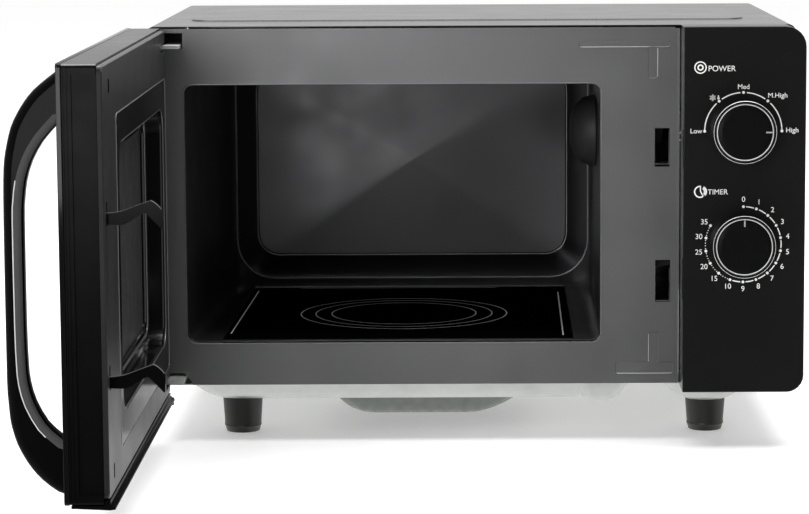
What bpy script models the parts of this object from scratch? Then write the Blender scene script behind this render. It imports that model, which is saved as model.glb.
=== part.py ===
"""Flatbed microwave oven with a side-hinged door, two rotary controls and its inner workings.

Build frame, in metres: X runs from the hinge side to the control side, Y from the front plate
to the rear, and Z up from the table. Door pieces are drawn shut and swung open by their pivot
empty. Everything hangs on one empty that moves the origin under the middle of the open oven.
"""

from math import cos, pi, radians, sin

import bmesh
import bpy
from mathutils import Matrix, Vector

# Overall body
CASE_WIDTH = 0.455
CASE_FRONT, CASE_REAR = 0.0013, 0.3135
CASE_BOTTOM, CASE_TOP = 0.0425, 0.2950
CASE_CORNER = 0.0055
EMBOSS_RISE = 0.0008
SHEET = 0.0008
GAP = 0.0003

# Front plate and oven cavity
PLATE_LEFT = -0.2260
PLATE_BOTTOM, PLATE_TOP = 0.0412, 0.2934
PLATE_THICK = 0.0010
MOUTH_LEFT, MOUTH_RIGHT = -0.2018, 0.0913
MOUTH_BOTTOM, MOUTH_TOP = 0.0707, 0.2544
CAVITY_DEPTH = 0.2800
CAVITY_FLOOR = 0.0727

# Glass-ceramic floor, tapered with the cavity
FLOOR_FRONT_Y, FLOOR_BACK_Y = 0.0065, 0.2690
FLOOR_FRONT_X = (-0.1768, 0.0716)
FLOOR_BACK_X = (-0.1716, 0.0736)
FLOOR_THICK = 0.0050

# Door, drawn shut
HINGE_X, HINGE_Y = -0.2214, -0.0089
DOOR_OPEN = radians(90)
DOOR_LEFT, DOOR_RIGHT = -0.2290, 0.1463
DOOR_BOTTOM, DOOR_TOP = 0.0340, 0.2945
DOOR_FRONT, DOOR_BACK = -0.0279, -0.0010
DOOR_SKIN = 0.0030
WINDOW_LEFT, WINDOW_RIGHT = -0.2190, 0.0800
WINDOW_BOTTOM, WINDOW_TOP = 0.0560, 0.2600
WINDOW_DEPTH = 0.0140
BORDER_SIDE, BORDER_END = 0.0140, 0.0190
BORDER_THICK = 0.0012

# Handle bow on the door
HANDLE_X, HANDLE_WIDTH = 0.1105, 0.0190
HANDLE_REACH = 0.0368
HANDLE_SOFT = 0.0056

# Latch
HOOK_X, HOOK_THICK = 0.1335, 0.0032
HOOK_HEIGHTS = (0.2030, 0.1060)
LATCH_LIFT = 0.0050

# Control panel and dials
PANEL_LEFT, PANEL_RIGHT = 0.1468, 0.2313
PANEL_BOTTOM, PANEL_TOP = 0.0402, 0.2952
PANEL_FRONT = -0.0335
PANEL_WALL = 0.0025
DIAL_X = 0.1882
POWER_Z, TIMER_Z = 0.2234, 0.1440
KNOB_RADIUS, KNOB_FRONT = 0.0219, -0.0485

# Underside
PAN_LIP = 0.0402
PAN_BOTTOM = 0.0272
FOOT_X = (-0.1662, 0.1687)
FOOT_Y = (0.0460, 0.2680)
FOOT_TOP_RADIUS, FOOT_TIP_RADIUS = 0.0148, 0.0129

# Microwave feed and stirrer
STIRRER_X, STIRRER_Y = -0.0520, 0.1300
GUIDE_FLOOR, GUIDE_ROOF = 0.0425, 0.0581
MAGNETRON_X, MAGNETRON_Y = 0.1400, 0.1300
FAN_X, FAN_Z = 0.1570, 0.1650
LAMP_Y, LAMP_Z = 0.1500, 0.2080

# The origin is under the middle of the box around the oven with its door open
OPEN_LEFT = HINGE_X + DOOR_FRONT - HANDLE_REACH - HINGE_Y
OPEN_FRONT = HINGE_Y - (DOOR_RIGHT - HINGE_X)
REAR_FACE = 0.3170
ORIGIN = Vector(((OPEN_LEFT + PANEL_RIGHT) / 2, (OPEN_FRONT + REAR_FACE) / 2, 0))

for old in list(bpy.data.objects):
    bpy.data.objects.remove(old)

PARTS = bpy.data.collections.new("microwave_oven")
CUTTERS = bpy.data.collections.new("cutters")
CUTTERS.hide_render = True
bpy.context.scene.collection.children.link(PARTS)
bpy.context.scene.collection.children.link(CUTTERS)


def empty(name, location, parent=None):
    made = bpy.data.objects.new(name, None)
    made.location = location
    made.parent = parent
    PARTS.objects.link(made)
    return made


BODY = empty("oven_body", -ORIGIN)
DOOR = empty("door_hinge_axis", (HINGE_X, HINGE_Y, 0), BODY)
HOLDER = {"of": BODY}


# ---------------------------------------------------------------- materials


def material(name, colour, roughness, metallic=0.0, alpha=1.0):
    made = bpy.data.materials.new(name)
    made.use_nodes = True
    shader = made.node_tree.nodes["Principled BSDF"]
    shader.inputs["Base Color"].default_value = (*colour, 1)
    shader.inputs["Roughness"].default_value = roughness
    shader.inputs["Metallic"].default_value = metallic
    shader.inputs["Alpha"].default_value = alpha
    made.diffuse_color = (*colour, alpha)
    return made


BLACK_PAINT = material("black_paint", (0.012, 0.012, 0.013), 0.22)
GREY_PAINT = material("grey_paint", (0.085, 0.085, 0.090), 0.38, 0.3)
ZINC = material("zinc_steel", (0.62, 0.64, 0.61), 0.35, 0.8)
STEEL = material("bright_steel", (0.70, 0.70, 0.70), 0.25, 1.0)
GLOSS_BLACK = material("gloss_black_plastic", (0.010, 0.010, 0.010), 0.10)
MATT_BLACK = material("matt_black_plastic", (0.020, 0.020, 0.020), 0.45)
FOOT_PLASTIC = material("foot_plastic", (0.030, 0.030, 0.028), 0.50)
BLACK_CERAMIC = material("black_ceramic", (0.006, 0.006, 0.006), 0.05)
SMOKED_GLASS = material("smoked_glass", (0.015, 0.015, 0.015), 0.05)
WHITE_PLASTIC = material("white_plastic", (0.75, 0.75, 0.72), 0.45)
ALUMINIUM = material("aluminium", (0.75, 0.76, 0.77), 0.35, 1.0)
IRON_CORE = material("laminated_iron", (0.16, 0.15, 0.14), 0.55, 0.6)
BOARD_GREEN = material("board_green", (0.05, 0.20, 0.08), 0.45)
LAMP_GLASS = material("lamp_glass", (0.85, 0.84, 0.78), 0.08)


# ------------------------------------------------------------ shape helpers

AXIS_TURN = {"X": (pi / 2, 0, pi / 2), "Y": (pi / 2, 0, 0), "Z": (0, 0, 0)}


def place(name, mesh, finish, location=(0, 0, 0), rotation=(0, 0, 0)):
    """An object of the oven, or a cutter when it has no finish."""
    made = bpy.data.objects.new(name, mesh)
    made.location = location
    made.rotation_euler = rotation
    made.parent = HOLDER["of"]
    if made.parent == DOOR:
        made.matrix_parent_inverse = Matrix.Translation((-HINGE_X, -HINGE_Y, 0))
    if finish is None:
        CUTTERS.objects.link(made)
        made.hide_render = True
        made.display_type = "WIRE"
    else:
        PARTS.objects.link(made)
        mesh.materials.append(finish)
    return made


def mesh_from(name, build):
    """A mesh filled by build(bm)."""
    mesh = bpy.data.meshes.new(name)
    bm = bmesh.new()
    build(bm)
    bm.to_mesh(mesh)
    bm.free()
    return mesh


def box(name, low, high, finish=None, bevel=0.0):
    size = [b - a for a, b in zip(low, high)]
    middle = [(a + b) / 2 for a, b in zip(low, high)]

    def build(bm):
        bmesh.ops.create_cube(bm, size=1, matrix=Matrix.Diagonal((*size, 1)))

    made = place(name, mesh_from(name, build), finish, middle)
    if bevel:
        round_edges(made, bevel)
    return made


def boxes(name, corners):
    """One cutter made of several boxes, each given by its low and high corner."""

    def build(bm):
        for low, high in corners:
            size = [b - a for a, b in zip(low, high)]
            middle = Vector([(a + b) / 2 for a, b in zip(low, high)])
            bmesh.ops.create_cube(
                bm, size=1, matrix=Matrix.Translation(middle) @ Matrix.Diagonal((*size, 1))
            )

    return place(name, mesh_from(name, build), None)


def rod(name, start, radius, length, axis="Z", finish=None, sides=20, tip_radius=None):
    """A cylinder or cone from start along +axis."""

    def build(bm):
        bmesh.ops.create_cone(
            bm,
            cap_ends=True,
            segments=sides,
            radius1=radius,
            radius2=radius if tip_radius is None else tip_radius,
            depth=length,
            matrix=Matrix.Translation((0, 0, length / 2)),
        )

    turn = {"X": (0, pi / 2, 0), "Y": (-pi / 2, 0, 0), "Z": (0, 0, 0)}[axis]
    made = place(name, mesh_from(name, build), finish, start, turn)
    return shade(made)


def turned(name, profile, location, axis="Z", finish=None, steps=24):
    """A solid of revolution: profile is (radius, height) from the top down, ends on the axis."""

    def build(bm):
        line = [bm.verts.new((radius, 0, height)) for radius, height in profile]
        for a, b in zip(line, line[1:]):
            bm.edges.new((a, b))

    turn = {"X": (0, pi / 2, 0), "Y": (-pi / 2, 0, 0), "-X": (0, -pi / 2, 0), "-Y": (pi / 2, 0, 0)}
    made = place(name, mesh_from(name, build), finish, location, turn.get(axis, (0, 0, 0)))
    screw = made.modifiers.new("turn", "SCREW")
    screw.steps = steps
    screw.render_steps = steps
    screw.use_merge_vertices = True
    screw.merge_threshold = 0.00001
    screw.use_smooth_shade = True
    return made


def arc(centre, radius, start, end, steps):
    """Points from angle start to end, in degrees."""
    angles = [radians(start + (end - start) * i / steps) for i in range(steps + 1)]
    return [(centre[0] + radius * cos(a), centre[1] + radius * sin(a)) for a in angles]


def rounded(left, right, bottom, top, radii, steps=4):
    """A rectangle with corner radii in the order bottom left, bottom right, top right, top left."""
    if not isinstance(radii, tuple):
        radii = (radii,) * 4
    corners = ((left, bottom, 1, 1), (right, bottom, -1, 1), (right, top, -1, -1), (left, top, 1, -1))
    points = []
    for (x, y, sx, sy), radius, start in zip(corners, radii, (180, 270, 0, 90)):
        if radius:
            centre = (x + sx * radius, y + sy * radius)
            points += arc(centre, radius, start, start + 90, steps)
        else:
            points.append((x, y))
    return points


def prism(name, outline, low, high, axis, finish=None, about=(0, 0)):
    """A flat outline pushed from low to high along an axis. The outline is in the other two.

    The outline is measured from the point about, which also becomes the object's origin.
    """
    curve = bpy.data.curves.new(name, "CURVE")
    curve.dimensions = "2D"
    curve.fill_mode = "BOTH"
    curve.extrude = (high - low) / 2
    spline = curve.splines.new("POLY")
    spline.points.add(len(outline) - 1)
    for point, (u, v) in zip(spline.points, outline):
        point.co = (u, v, 0, 1)
    spline.use_cyclic_u = True
    drawn = bpy.data.objects.new(name, curve)
    PARTS.objects.link(drawn)
    bpy.context.view_layer.update()
    mesh = bpy.data.meshes.new_from_object(drawn.evaluated_get(bpy.context.evaluated_depsgraph_get()))
    bpy.data.objects.remove(drawn)
    bpy.data.curves.remove(curve)
    bm = bmesh.new()
    bm.from_mesh(mesh)
    bmesh.ops.remove_doubles(bm, verts=bm.verts, dist=0.00001)
    bmesh.ops.recalc_face_normals(bm, faces=bm.faces)
    bm.to_mesh(mesh)
    bm.free()
    middle = (low + high) / 2
    u, v = about
    location = {"X": (middle, u, v), "Y": (u, middle, v), "Z": (u, v, middle)}[axis]
    mesh.materials.clear()
    return place(name, mesh, finish, location, AXIS_TURN[axis])


def sheet_of_loops(name, loops, finish, thickness, tip=None, offset=-1):
    """A sheet through loops of equal length, thickened by Solidify, closed at tip if one is given."""

    def build(bm):
        rings = [[bm.verts.new(point) for point in loop] for loop in loops]
        count = len(rings[0])
        for ring, following in zip(rings, rings[1:]):
            for i in range(count):
                j = (i + 1) % count
                bm.faces.new((ring[i], ring[j], following[j], following[i]))
        if tip is not None:
            point = bm.verts.new(tip)
            for i in range(count):
                bm.faces.new((rings[-1][i], rings[-1][(i + 1) % count], point))

    made = place(name, mesh_from(name, build), finish)
    solidify(made, thickness, offset)
    return made


def tapered(name, low, low_sides, high, high_sides, finish=None, bevel=0.0):
    """A block between two level rectangles, each given as left, right, front and rear."""

    def build(bm):
        rings = []
        for z, (left, right, front, rear) in ((low, low_sides), (high, high_sides)):
            corners = ((left, front), (right, front), (right, rear), (left, rear))
            rings.append([bm.verts.new((x, y, z)) for x, y in corners])
        bm.faces.new(reversed(rings[0]))
        bm.faces.new(rings[1])
        for i in range(4):
            j = (i + 1) % 4
            bm.faces.new((rings[0][i], rings[0][j], rings[1][j], rings[1][i]))

    made = place(name, mesh_from(name, build), finish)
    if bevel:
        round_edges(made, bevel, 2)
    return made


def bowl(name, floor, low_sides, top, high_sides, edge, corner, finish=None):
    """A pressed bowl as a solid: level rounded rectangles from a soft bottom edge up to the top."""
    loops = []
    for angle in (0, 30, 60, 90):
        height = edge * (1 - cos(radians(angle)))
        inset = edge * (1 - sin(radians(angle)))
        part = height / (top - floor)
        loops.append((floor + height, inset, part))
    loops.append((top, 0, 1))

    def build(bm):
        rows = []
        for z, inset, part in loops:
            sides = [a + (b - a) * part for a, b in zip(low_sides, high_sides)]
            left, right, front, rear = (v + inset * s for v, s in zip(sides, (1, -1, 1, -1)))
            line = rounded(left, right, front, rear, corner - inset * 0.4, 4)
            rows.append([bm.verts.new((x, y, z)) for x, y in line])
        bm.faces.new(reversed(rows[0]))
        bm.faces.new(rows[-1])
        count = len(rows[0])
        for lower, upper in zip(rows, rows[1:]):
            for i in range(count):
                j = (i + 1) % count
                bm.faces.new((lower[i], lower[j], upper[j], upper[i]))

    return place(name, mesh_from(name, build), finish)


def smoothed(points, steps):
    """A curve through the points, with steps pieces between each two of them."""
    curve = []
    last = len(points) - 1
    for i in range(last):
        a, b, c, d = (Vector(points[min(max(j, 0), last)]) for j in (i - 1, i, i + 1, i + 2))
        for step in range(steps):
            t = step / steps
            point = 0.5 * (2 * b + (c - a) * t + (2 * a - 5 * b + 4 * c - d) * t**2
                           + (3 * b - 3 * c + d - a) * t**3)
            curve.append(tuple(point))
    return curve + [points[-1]]


def solidify(made, thickness, offset):
    wall = made.modifiers.new("wall", "SOLIDIFY")
    wall.thickness = thickness
    wall.offset = offset
    wall.use_even_offset = True


def round_edges(made, width, segments=1):
    bevel = made.modifiers.new("edges", "BEVEL")
    bevel.width = width
    bevel.segments = segments
    bevel.limit_method = "ANGLE"


def shade(made):
    made.data.shade_smooth()
    made.data.set_sharp_from_angle(angle=radians(35))
    return made


def combine(target, operation, others):
    for other in others:
        step = target.modifiers.new(operation.lower(), "BOOLEAN")
        step.operation = operation
        step.object = other
        other.hide_render = True
        other.display_type = "WIRE"
        if other.name in PARTS.objects:
            PARTS.objects.unlink(other)
            CUTTERS.objects.link(other)
    return target


def cut(target, *cutters):
    return combine(target, "DIFFERENCE", cutters)


def join(target, *others):
    return combine(target, "UNION", others)


def slot_bank(name, count, first, pitch, low, high, axis):
    """A row of equal slots: low and high are the first slot's corners, moved along axis."""
    corners = []
    for i in range(count):
        shift = first + i * pitch
        move = [shift if letter == axis else 0 for letter in "XYZ"]
        corners.append(([a + m for a, m in zip(low, move)], [b + m for b, m in zip(high, move)]))
    return boxes(name, corners)


# ---------------------------------------------------------------- outer shell


def case_outline():
    """The wrap seen from the front: the outer line over the top, then back inside it."""
    half, turn_in = CASE_WIDTH / 2, 0.009
    outer = rounded(-half, half, CASE_BOTTOM, CASE_TOP, (0, 0, CASE_CORNER, CASE_CORNER), 5)
    inside = CASE_CORNER - SHEET
    inner = rounded(
        -half + SHEET, half - SHEET, CASE_BOTTOM, CASE_TOP - SHEET, (0, 0, inside, inside), 5
    )
    left_lip = [
        (-half + SHEET, CASE_BOTTOM + SHEET),
        (-half + turn_in, CASE_BOTTOM + SHEET),
        (-half + turn_in, CASE_BOTTOM),
    ]
    right_lip = [(-x, z) for x, z in reversed(left_lip)]
    return outer[1:] + [outer[0]] + left_lip[::-1] + inner[:1:-1] + right_lip[::-1]


def make_shell():
    half = CASE_WIDTH / 2
    case = prism("outer_case", case_outline(), CASE_FRONT, CASE_REAR, "Y", BLACK_PAINT)
    field = rounded(-0.203, 0.198, 0.071, 0.296, 0.018, 6)
    emboss = prism("case_emboss", field, CASE_TOP - SHEET / 2, CASE_TOP + EMBOSS_RISE, "Z")
    round_edges(emboss, 0.0004)
    join(case, emboss)
    vents = slot_bank(
        "case_vents", 9, 0, 0.0085, (half - 0.004, 0.205, 0.150), (half + 0.004, 0.208, 0.200), "Y"
    )
    low_vents = slot_bank(
        "case_low_vents", 9, 0, 0.0085, (-half - 0.004, 0.205, 0.070), (-half + 0.004, 0.208, 0.110), "Y"
    )
    cut(case, vents, low_vents)

    rear = box("rear_panel", (-half + 0.0015, 0.3138, 0.0440), (half - 0.0015, 0.3148, 0.2930), ZINC)
    field = box("rear_vent_field", (0.100, 0.3143, 0.110), (0.208, REAR_FACE, 0.245))
    round_edges(field, 0.0015)
    air_out = box("rear_outlet_field", (-0.195, 0.3143, 0.190), (-0.060, REAR_FACE, 0.250))
    round_edges(air_out, 0.0015)
    join(rear, field, air_out)
    fan_slots = slot_bank(
        "rear_fan_slots", 11, 0, 0.009, (FAN_X - 0.040, 0.310, 0.1185), (FAN_X + 0.040, 0.320, 0.1225), "Z"
    )
    out_slots = slot_bank(
        "rear_outlet_slots", 12, 0, 0.010, (-0.186, 0.310, 0.200), (-0.182, 0.320, 0.240), "X"
    )
    inlet = rod("inlet_hole", (0.175, 0.305, 0.075), 0.0078, 0.02, "Y", None, 20)
    cut(rear, fan_slots, out_slots, inlet)
    bush = turned(
        "cord_inlet_grommet",
        [(0.0105, 0.0018), (0.0105, 0.0003), (0.0074, 0.0003), (0.0074, -0.0017), (0.0095, -0.0017),
         (0.0095, -0.0037), (0.0045, -0.0037), (0.0045, 0.0018), (0.0105, 0.0018)],
        (0.175, 0.3148, 0.075), "Y", MATT_BLACK, 20,
    )
    return case, rear, bush


def make_base():
    pan = box("base_pan", (-0.2240, 0.0060, PAN_LIP), (0.2240, 0.3125, PAN_LIP + 0.0010), ZINC)
    lip = PAN_LIP + 0.0005
    trays = (
        (0.0276, (-0.1850, 0.0800, 0.0150, 0.3030), (-0.2010, 0.0915, 0.0065, 0.3110), 0.007, 0.012),
        (0.0252, (0.0800, 0.1015, 0.0150, 0.3030), (0.0735, 0.1130, 0.0065, 0.3110), 0.005, 0.008),
        (0.0250, (0.1510, 0.1840, 0.0150, 0.3030), (0.1335, 0.1990, 0.0065, 0.3110), 0.007, 0.012),
    )
    for i, (floor, low, high, edge, corner) in enumerate(trays):
        join(pan, bowl(f"tray_{i}", floor, low, lip, high, edge, corner))
    for i, (floor, low, high, edge, corner) in enumerate(trays):
        low_in, high_in = ([v + n for v, n in zip(sides, (0.0007, -0.0007, 0.0007, -0.0007))]
                           for sides in (low, high))
        hollow = bowl(f"tray_hollow_{i}", floor + 0.0009, low_in, PAN_LIP + 0.0030, high_in, edge, corner)
        cut(pan, hollow)
    cut(pan, rod("motor_hole", (STIRRER_X, STIRRER_Y, 0.020), 0.0270, 0.015, "Z", None, 24))

    cover = bowl(
        "stirrer_motor_cover", 0.0084, (-0.0860, 0.0118, 0.0600, 0.1660),
        PAN_BOTTOM + 0.0001, (-0.1045, 0.0418, 0.0480, 0.1770), 0.008, 0.014, ZINC,
    )
    hollow = bowl(
        "cover_hollow", 0.0094, (-0.0850, 0.0108, 0.0610, 0.1650),
        PAN_BOTTOM + 0.0030, (-0.1050, 0.0423, 0.0475, 0.1775), 0.0078, 0.013,
    )
    hollow.scale = (0.985, 0.99, 1)
    cut(cover, hollow)

    foot_line = [
        (0, 0.0247), (FOOT_TOP_RADIUS, 0.0247), (FOOT_TOP_RADIUS - 0.0004, 0.0225), (0.0132, 0.0062),
        (0.0134, 0.0056), (0.0134, 0.0044), (FOOT_TIP_RADIUS, 0.0036),
        (0.0120, 0.0004), (0.0114, 0), (0, 0),
    ]
    for y, row in zip(FOOT_Y, ("front", "rear")):
        for x, side in zip(FOOT_X, ("left", "right")):
            line = foot_line
            if side == "left":
                line = [(r, z + 0.0026 if z > 0.02 else z) for r, z in foot_line]
            turned(f"foot_{row}_{side}", line, (x, y, 0), "Z", FOOT_PLASTIC, 20)
    return pan, cover


def make_front_plate():
    outline = [
        (PLATE_LEFT, 0.0498), (-0.2035, 0.0496), (-0.1973, PLATE_BOTTOM), (0.1430, PLATE_BOTTOM),
        (0.1430, PLATE_TOP), (PLATE_LEFT, PLATE_TOP),
    ]
    plate = prism("front_plate", outline, 0, PLATE_THICK, "Y", GREY_PAINT)
    flange = box("side_flange", (0.1425, 0.0003, PLATE_BOTTOM), (0.1463, 0.0100, PLATE_TOP - 0.0009))
    flange_hollow = box("flange_hollow", (0.1405, PLATE_THICK, 0.0300), (0.1455, 0.0200, 0.3000))
    ribs = (
        (0.0754, 0.1400, 0.2797, 0.2838),
        (0.1240, 0.1307, 0.2577, 0.2800),
        (0.1013, 0.1424, 0.0484, 0.0564),
        (0.1250, 0.1320, 0.0560, 0.0778),
    )
    join(plate, flange)
    for i, (left, right, low, high) in enumerate(ribs):
        rib = prism(f"plate_rib_{i}", rounded(left, right, low, high, 0.0018, 3), -0.0007, 0.0005, "Y")
        round_edges(rib, 0.0004)
        join(plate, rib)
    mouth = rounded(MOUTH_LEFT, MOUTH_RIGHT, MOUTH_BOTTOM, MOUTH_TOP, (0.0085, 0.0085, 0.007, 0.005), 5)
    holes = boxes("plate_holes", [
        ((-0.2300, -0.01, 0.2794), (-0.2017, 0.01, 0.2906)),
        ((0.1289, -0.01, 0.1953), (0.1394, 0.01, 0.2226)),
        ((0.1296, -0.01, 0.0994), (0.1402, 0.01, 0.1292)),
    ])
    cut(plate, flange_hollow, prism("mouth_cutter", mouth, -0.01, 0.01, "Y"), holes)
    return plate


# ---------------------------------------------------------------- oven cavity


def make_cavity():
    stations = (
        (0.0013, -0.2010, 0.0920, CAVITY_FLOOR, 0.2700, 0.008),
        (0.2550, -0.1883, 0.0947, CAVITY_FLOOR, 0.2700, 0.012),
        (0.2720, -0.1876, 0.0944, 0.0742, 0.2688, 0.022),
        (CAVITY_DEPTH, -0.1865, 0.0931, 0.0791, 0.2640, 0.030),
        (CAVITY_DEPTH - 0.0062, -0.1694, 0.0759, 0.0987, 0.2450, 0.017),
        (CAVITY_DEPTH - 0.0072, -0.1680, 0.0745, 0.1001, 0.2436, 0.016),
    )
    loops = [[(x, y, z) for x, z in rounded(a, b, c, d, r, 5)] for y, a, b, c, d, r in stations]
    apex = (-0.0451, CAVITY_DEPTH - 0.0110, 0.1753)
    liner = sheet_of_loops("cavity_liner", loops, GREY_PAINT, SHEET, apex, -1)
    slack = 0.0004
    plate_sides = (
        (FLOOR_FRONT_X[0], FLOOR_FRONT_Y), (FLOOR_FRONT_X[1], FLOOR_FRONT_Y),
        (FLOOR_BACK_X[1], FLOOR_BACK_Y), (FLOOR_BACK_X[0], FLOOR_BACK_Y),
    )
    grow = ((-slack, -slack), (slack, -slack), (slack, slack), (-slack, slack))
    opening = [(x + dx, y + dy) for (x, y), (dx, dy) in zip(plate_sides, grow)]
    hole = prism("floor_opening", opening, 0.060, 0.080, "Z")
    lamp_hole = rod("lamp_hole", (0.085, LAMP_Y, LAMP_Z), 0.009, 0.020, "X", None, 16)
    cut(liner, hole, lamp_hole)

    low = CAVITY_FLOOR - FLOOR_THICK
    prism("ceramic_floor_plate", plate_sides, low, CAVITY_FLOOR, "Z", BLACK_CERAMIC)
    well = box("stirrer_well", (-0.1850, 0.0030, 0.0584), (0.0820, 0.2740, low - GAP), ZINC)
    pit = tapered(
        "well_pit", 0.0593, (-0.1640, 0.0580, 0.0150, 0.2580), 0.0700, (-0.1700, 0.0650, 0.0110, 0.2640)
    )
    feed = box("well_feed_hole", (STIRRER_X - 0.022, STIRRER_Y - 0.022, 0.050),
               (STIRRER_X + 0.022, STIRRER_Y + 0.022, 0.065))
    cut(well, pit, feed)

    guide = box("waveguide", (-0.0900, 0.0870, GUIDE_FLOOR), (0.1800, 0.1730, GUIDE_ROOF), ALUMINIUM)
    tunnel = box("guide_tunnel", (-0.0890, 0.0880, GUIDE_FLOOR + 0.001),
                 (0.1790, 0.1720, GUIDE_ROOF - 0.001))
    up = box("guide_outlet", (STIRRER_X - 0.022, STIRRER_Y - 0.022, GUIDE_ROOF - 0.005),
             (STIRRER_X + 0.022, STIRRER_Y + 0.022, GUIDE_ROOF + 0.005))
    axle = rod("guide_axle_hole", (STIRRER_X, STIRRER_Y, 0.035), 0.00305, 0.012, "Z", None, 16)
    antenna = rod("guide_antenna_hole", (MAGNETRON_X, MAGNETRON_Y, 0.050), 0.0120, 0.012, "Z", None, 20)
    cut(guide, tunnel, up, axle, antenna)

    dome = turned(
        "cavity_dome",
        [(0, 0.0190), (0.0100, 0.0182), (0.0190, 0.0150), (0.0250, 0.0085), (0.0270, 0.0010),
         (0.0270, 0), (0.0258, 0), (0.0240, 0.0080), (0.0182, 0.0140), (0.0095, 0.0170), (0, 0.0177)],
        (0.0927, LAMP_Y, LAMP_Z), "-X", GREY_PAINT, 28,
    )
    return liner, dome


def make_stirrer():
    rod("stirrer_motor", (STIRRER_X, STIRRER_Y, 0.0235), 0.0240, 0.0185, "Z", ZINC, 24)
    rod("stirrer_shaft", (STIRRER_X, STIRRER_Y, 0.0423), 0.0030, 0.0200, "Z", WHITE_PLASTIC, 16)
    outline = []
    for blade in range(3):
        turn = 120 * blade
        outline += arc((0, 0), 0.0620, turn - 17, turn + 17, 4)
        outline += arc((0, 0), 0.0140, turn + 50, turn + 70, 2)
    prism("mode_stirrer", outline, 0.0626, 0.0638, "Z", ALUMINIUM, (STIRRER_X, STIRRER_Y))


# ---------------------------------------------------------- electrical bay


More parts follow.
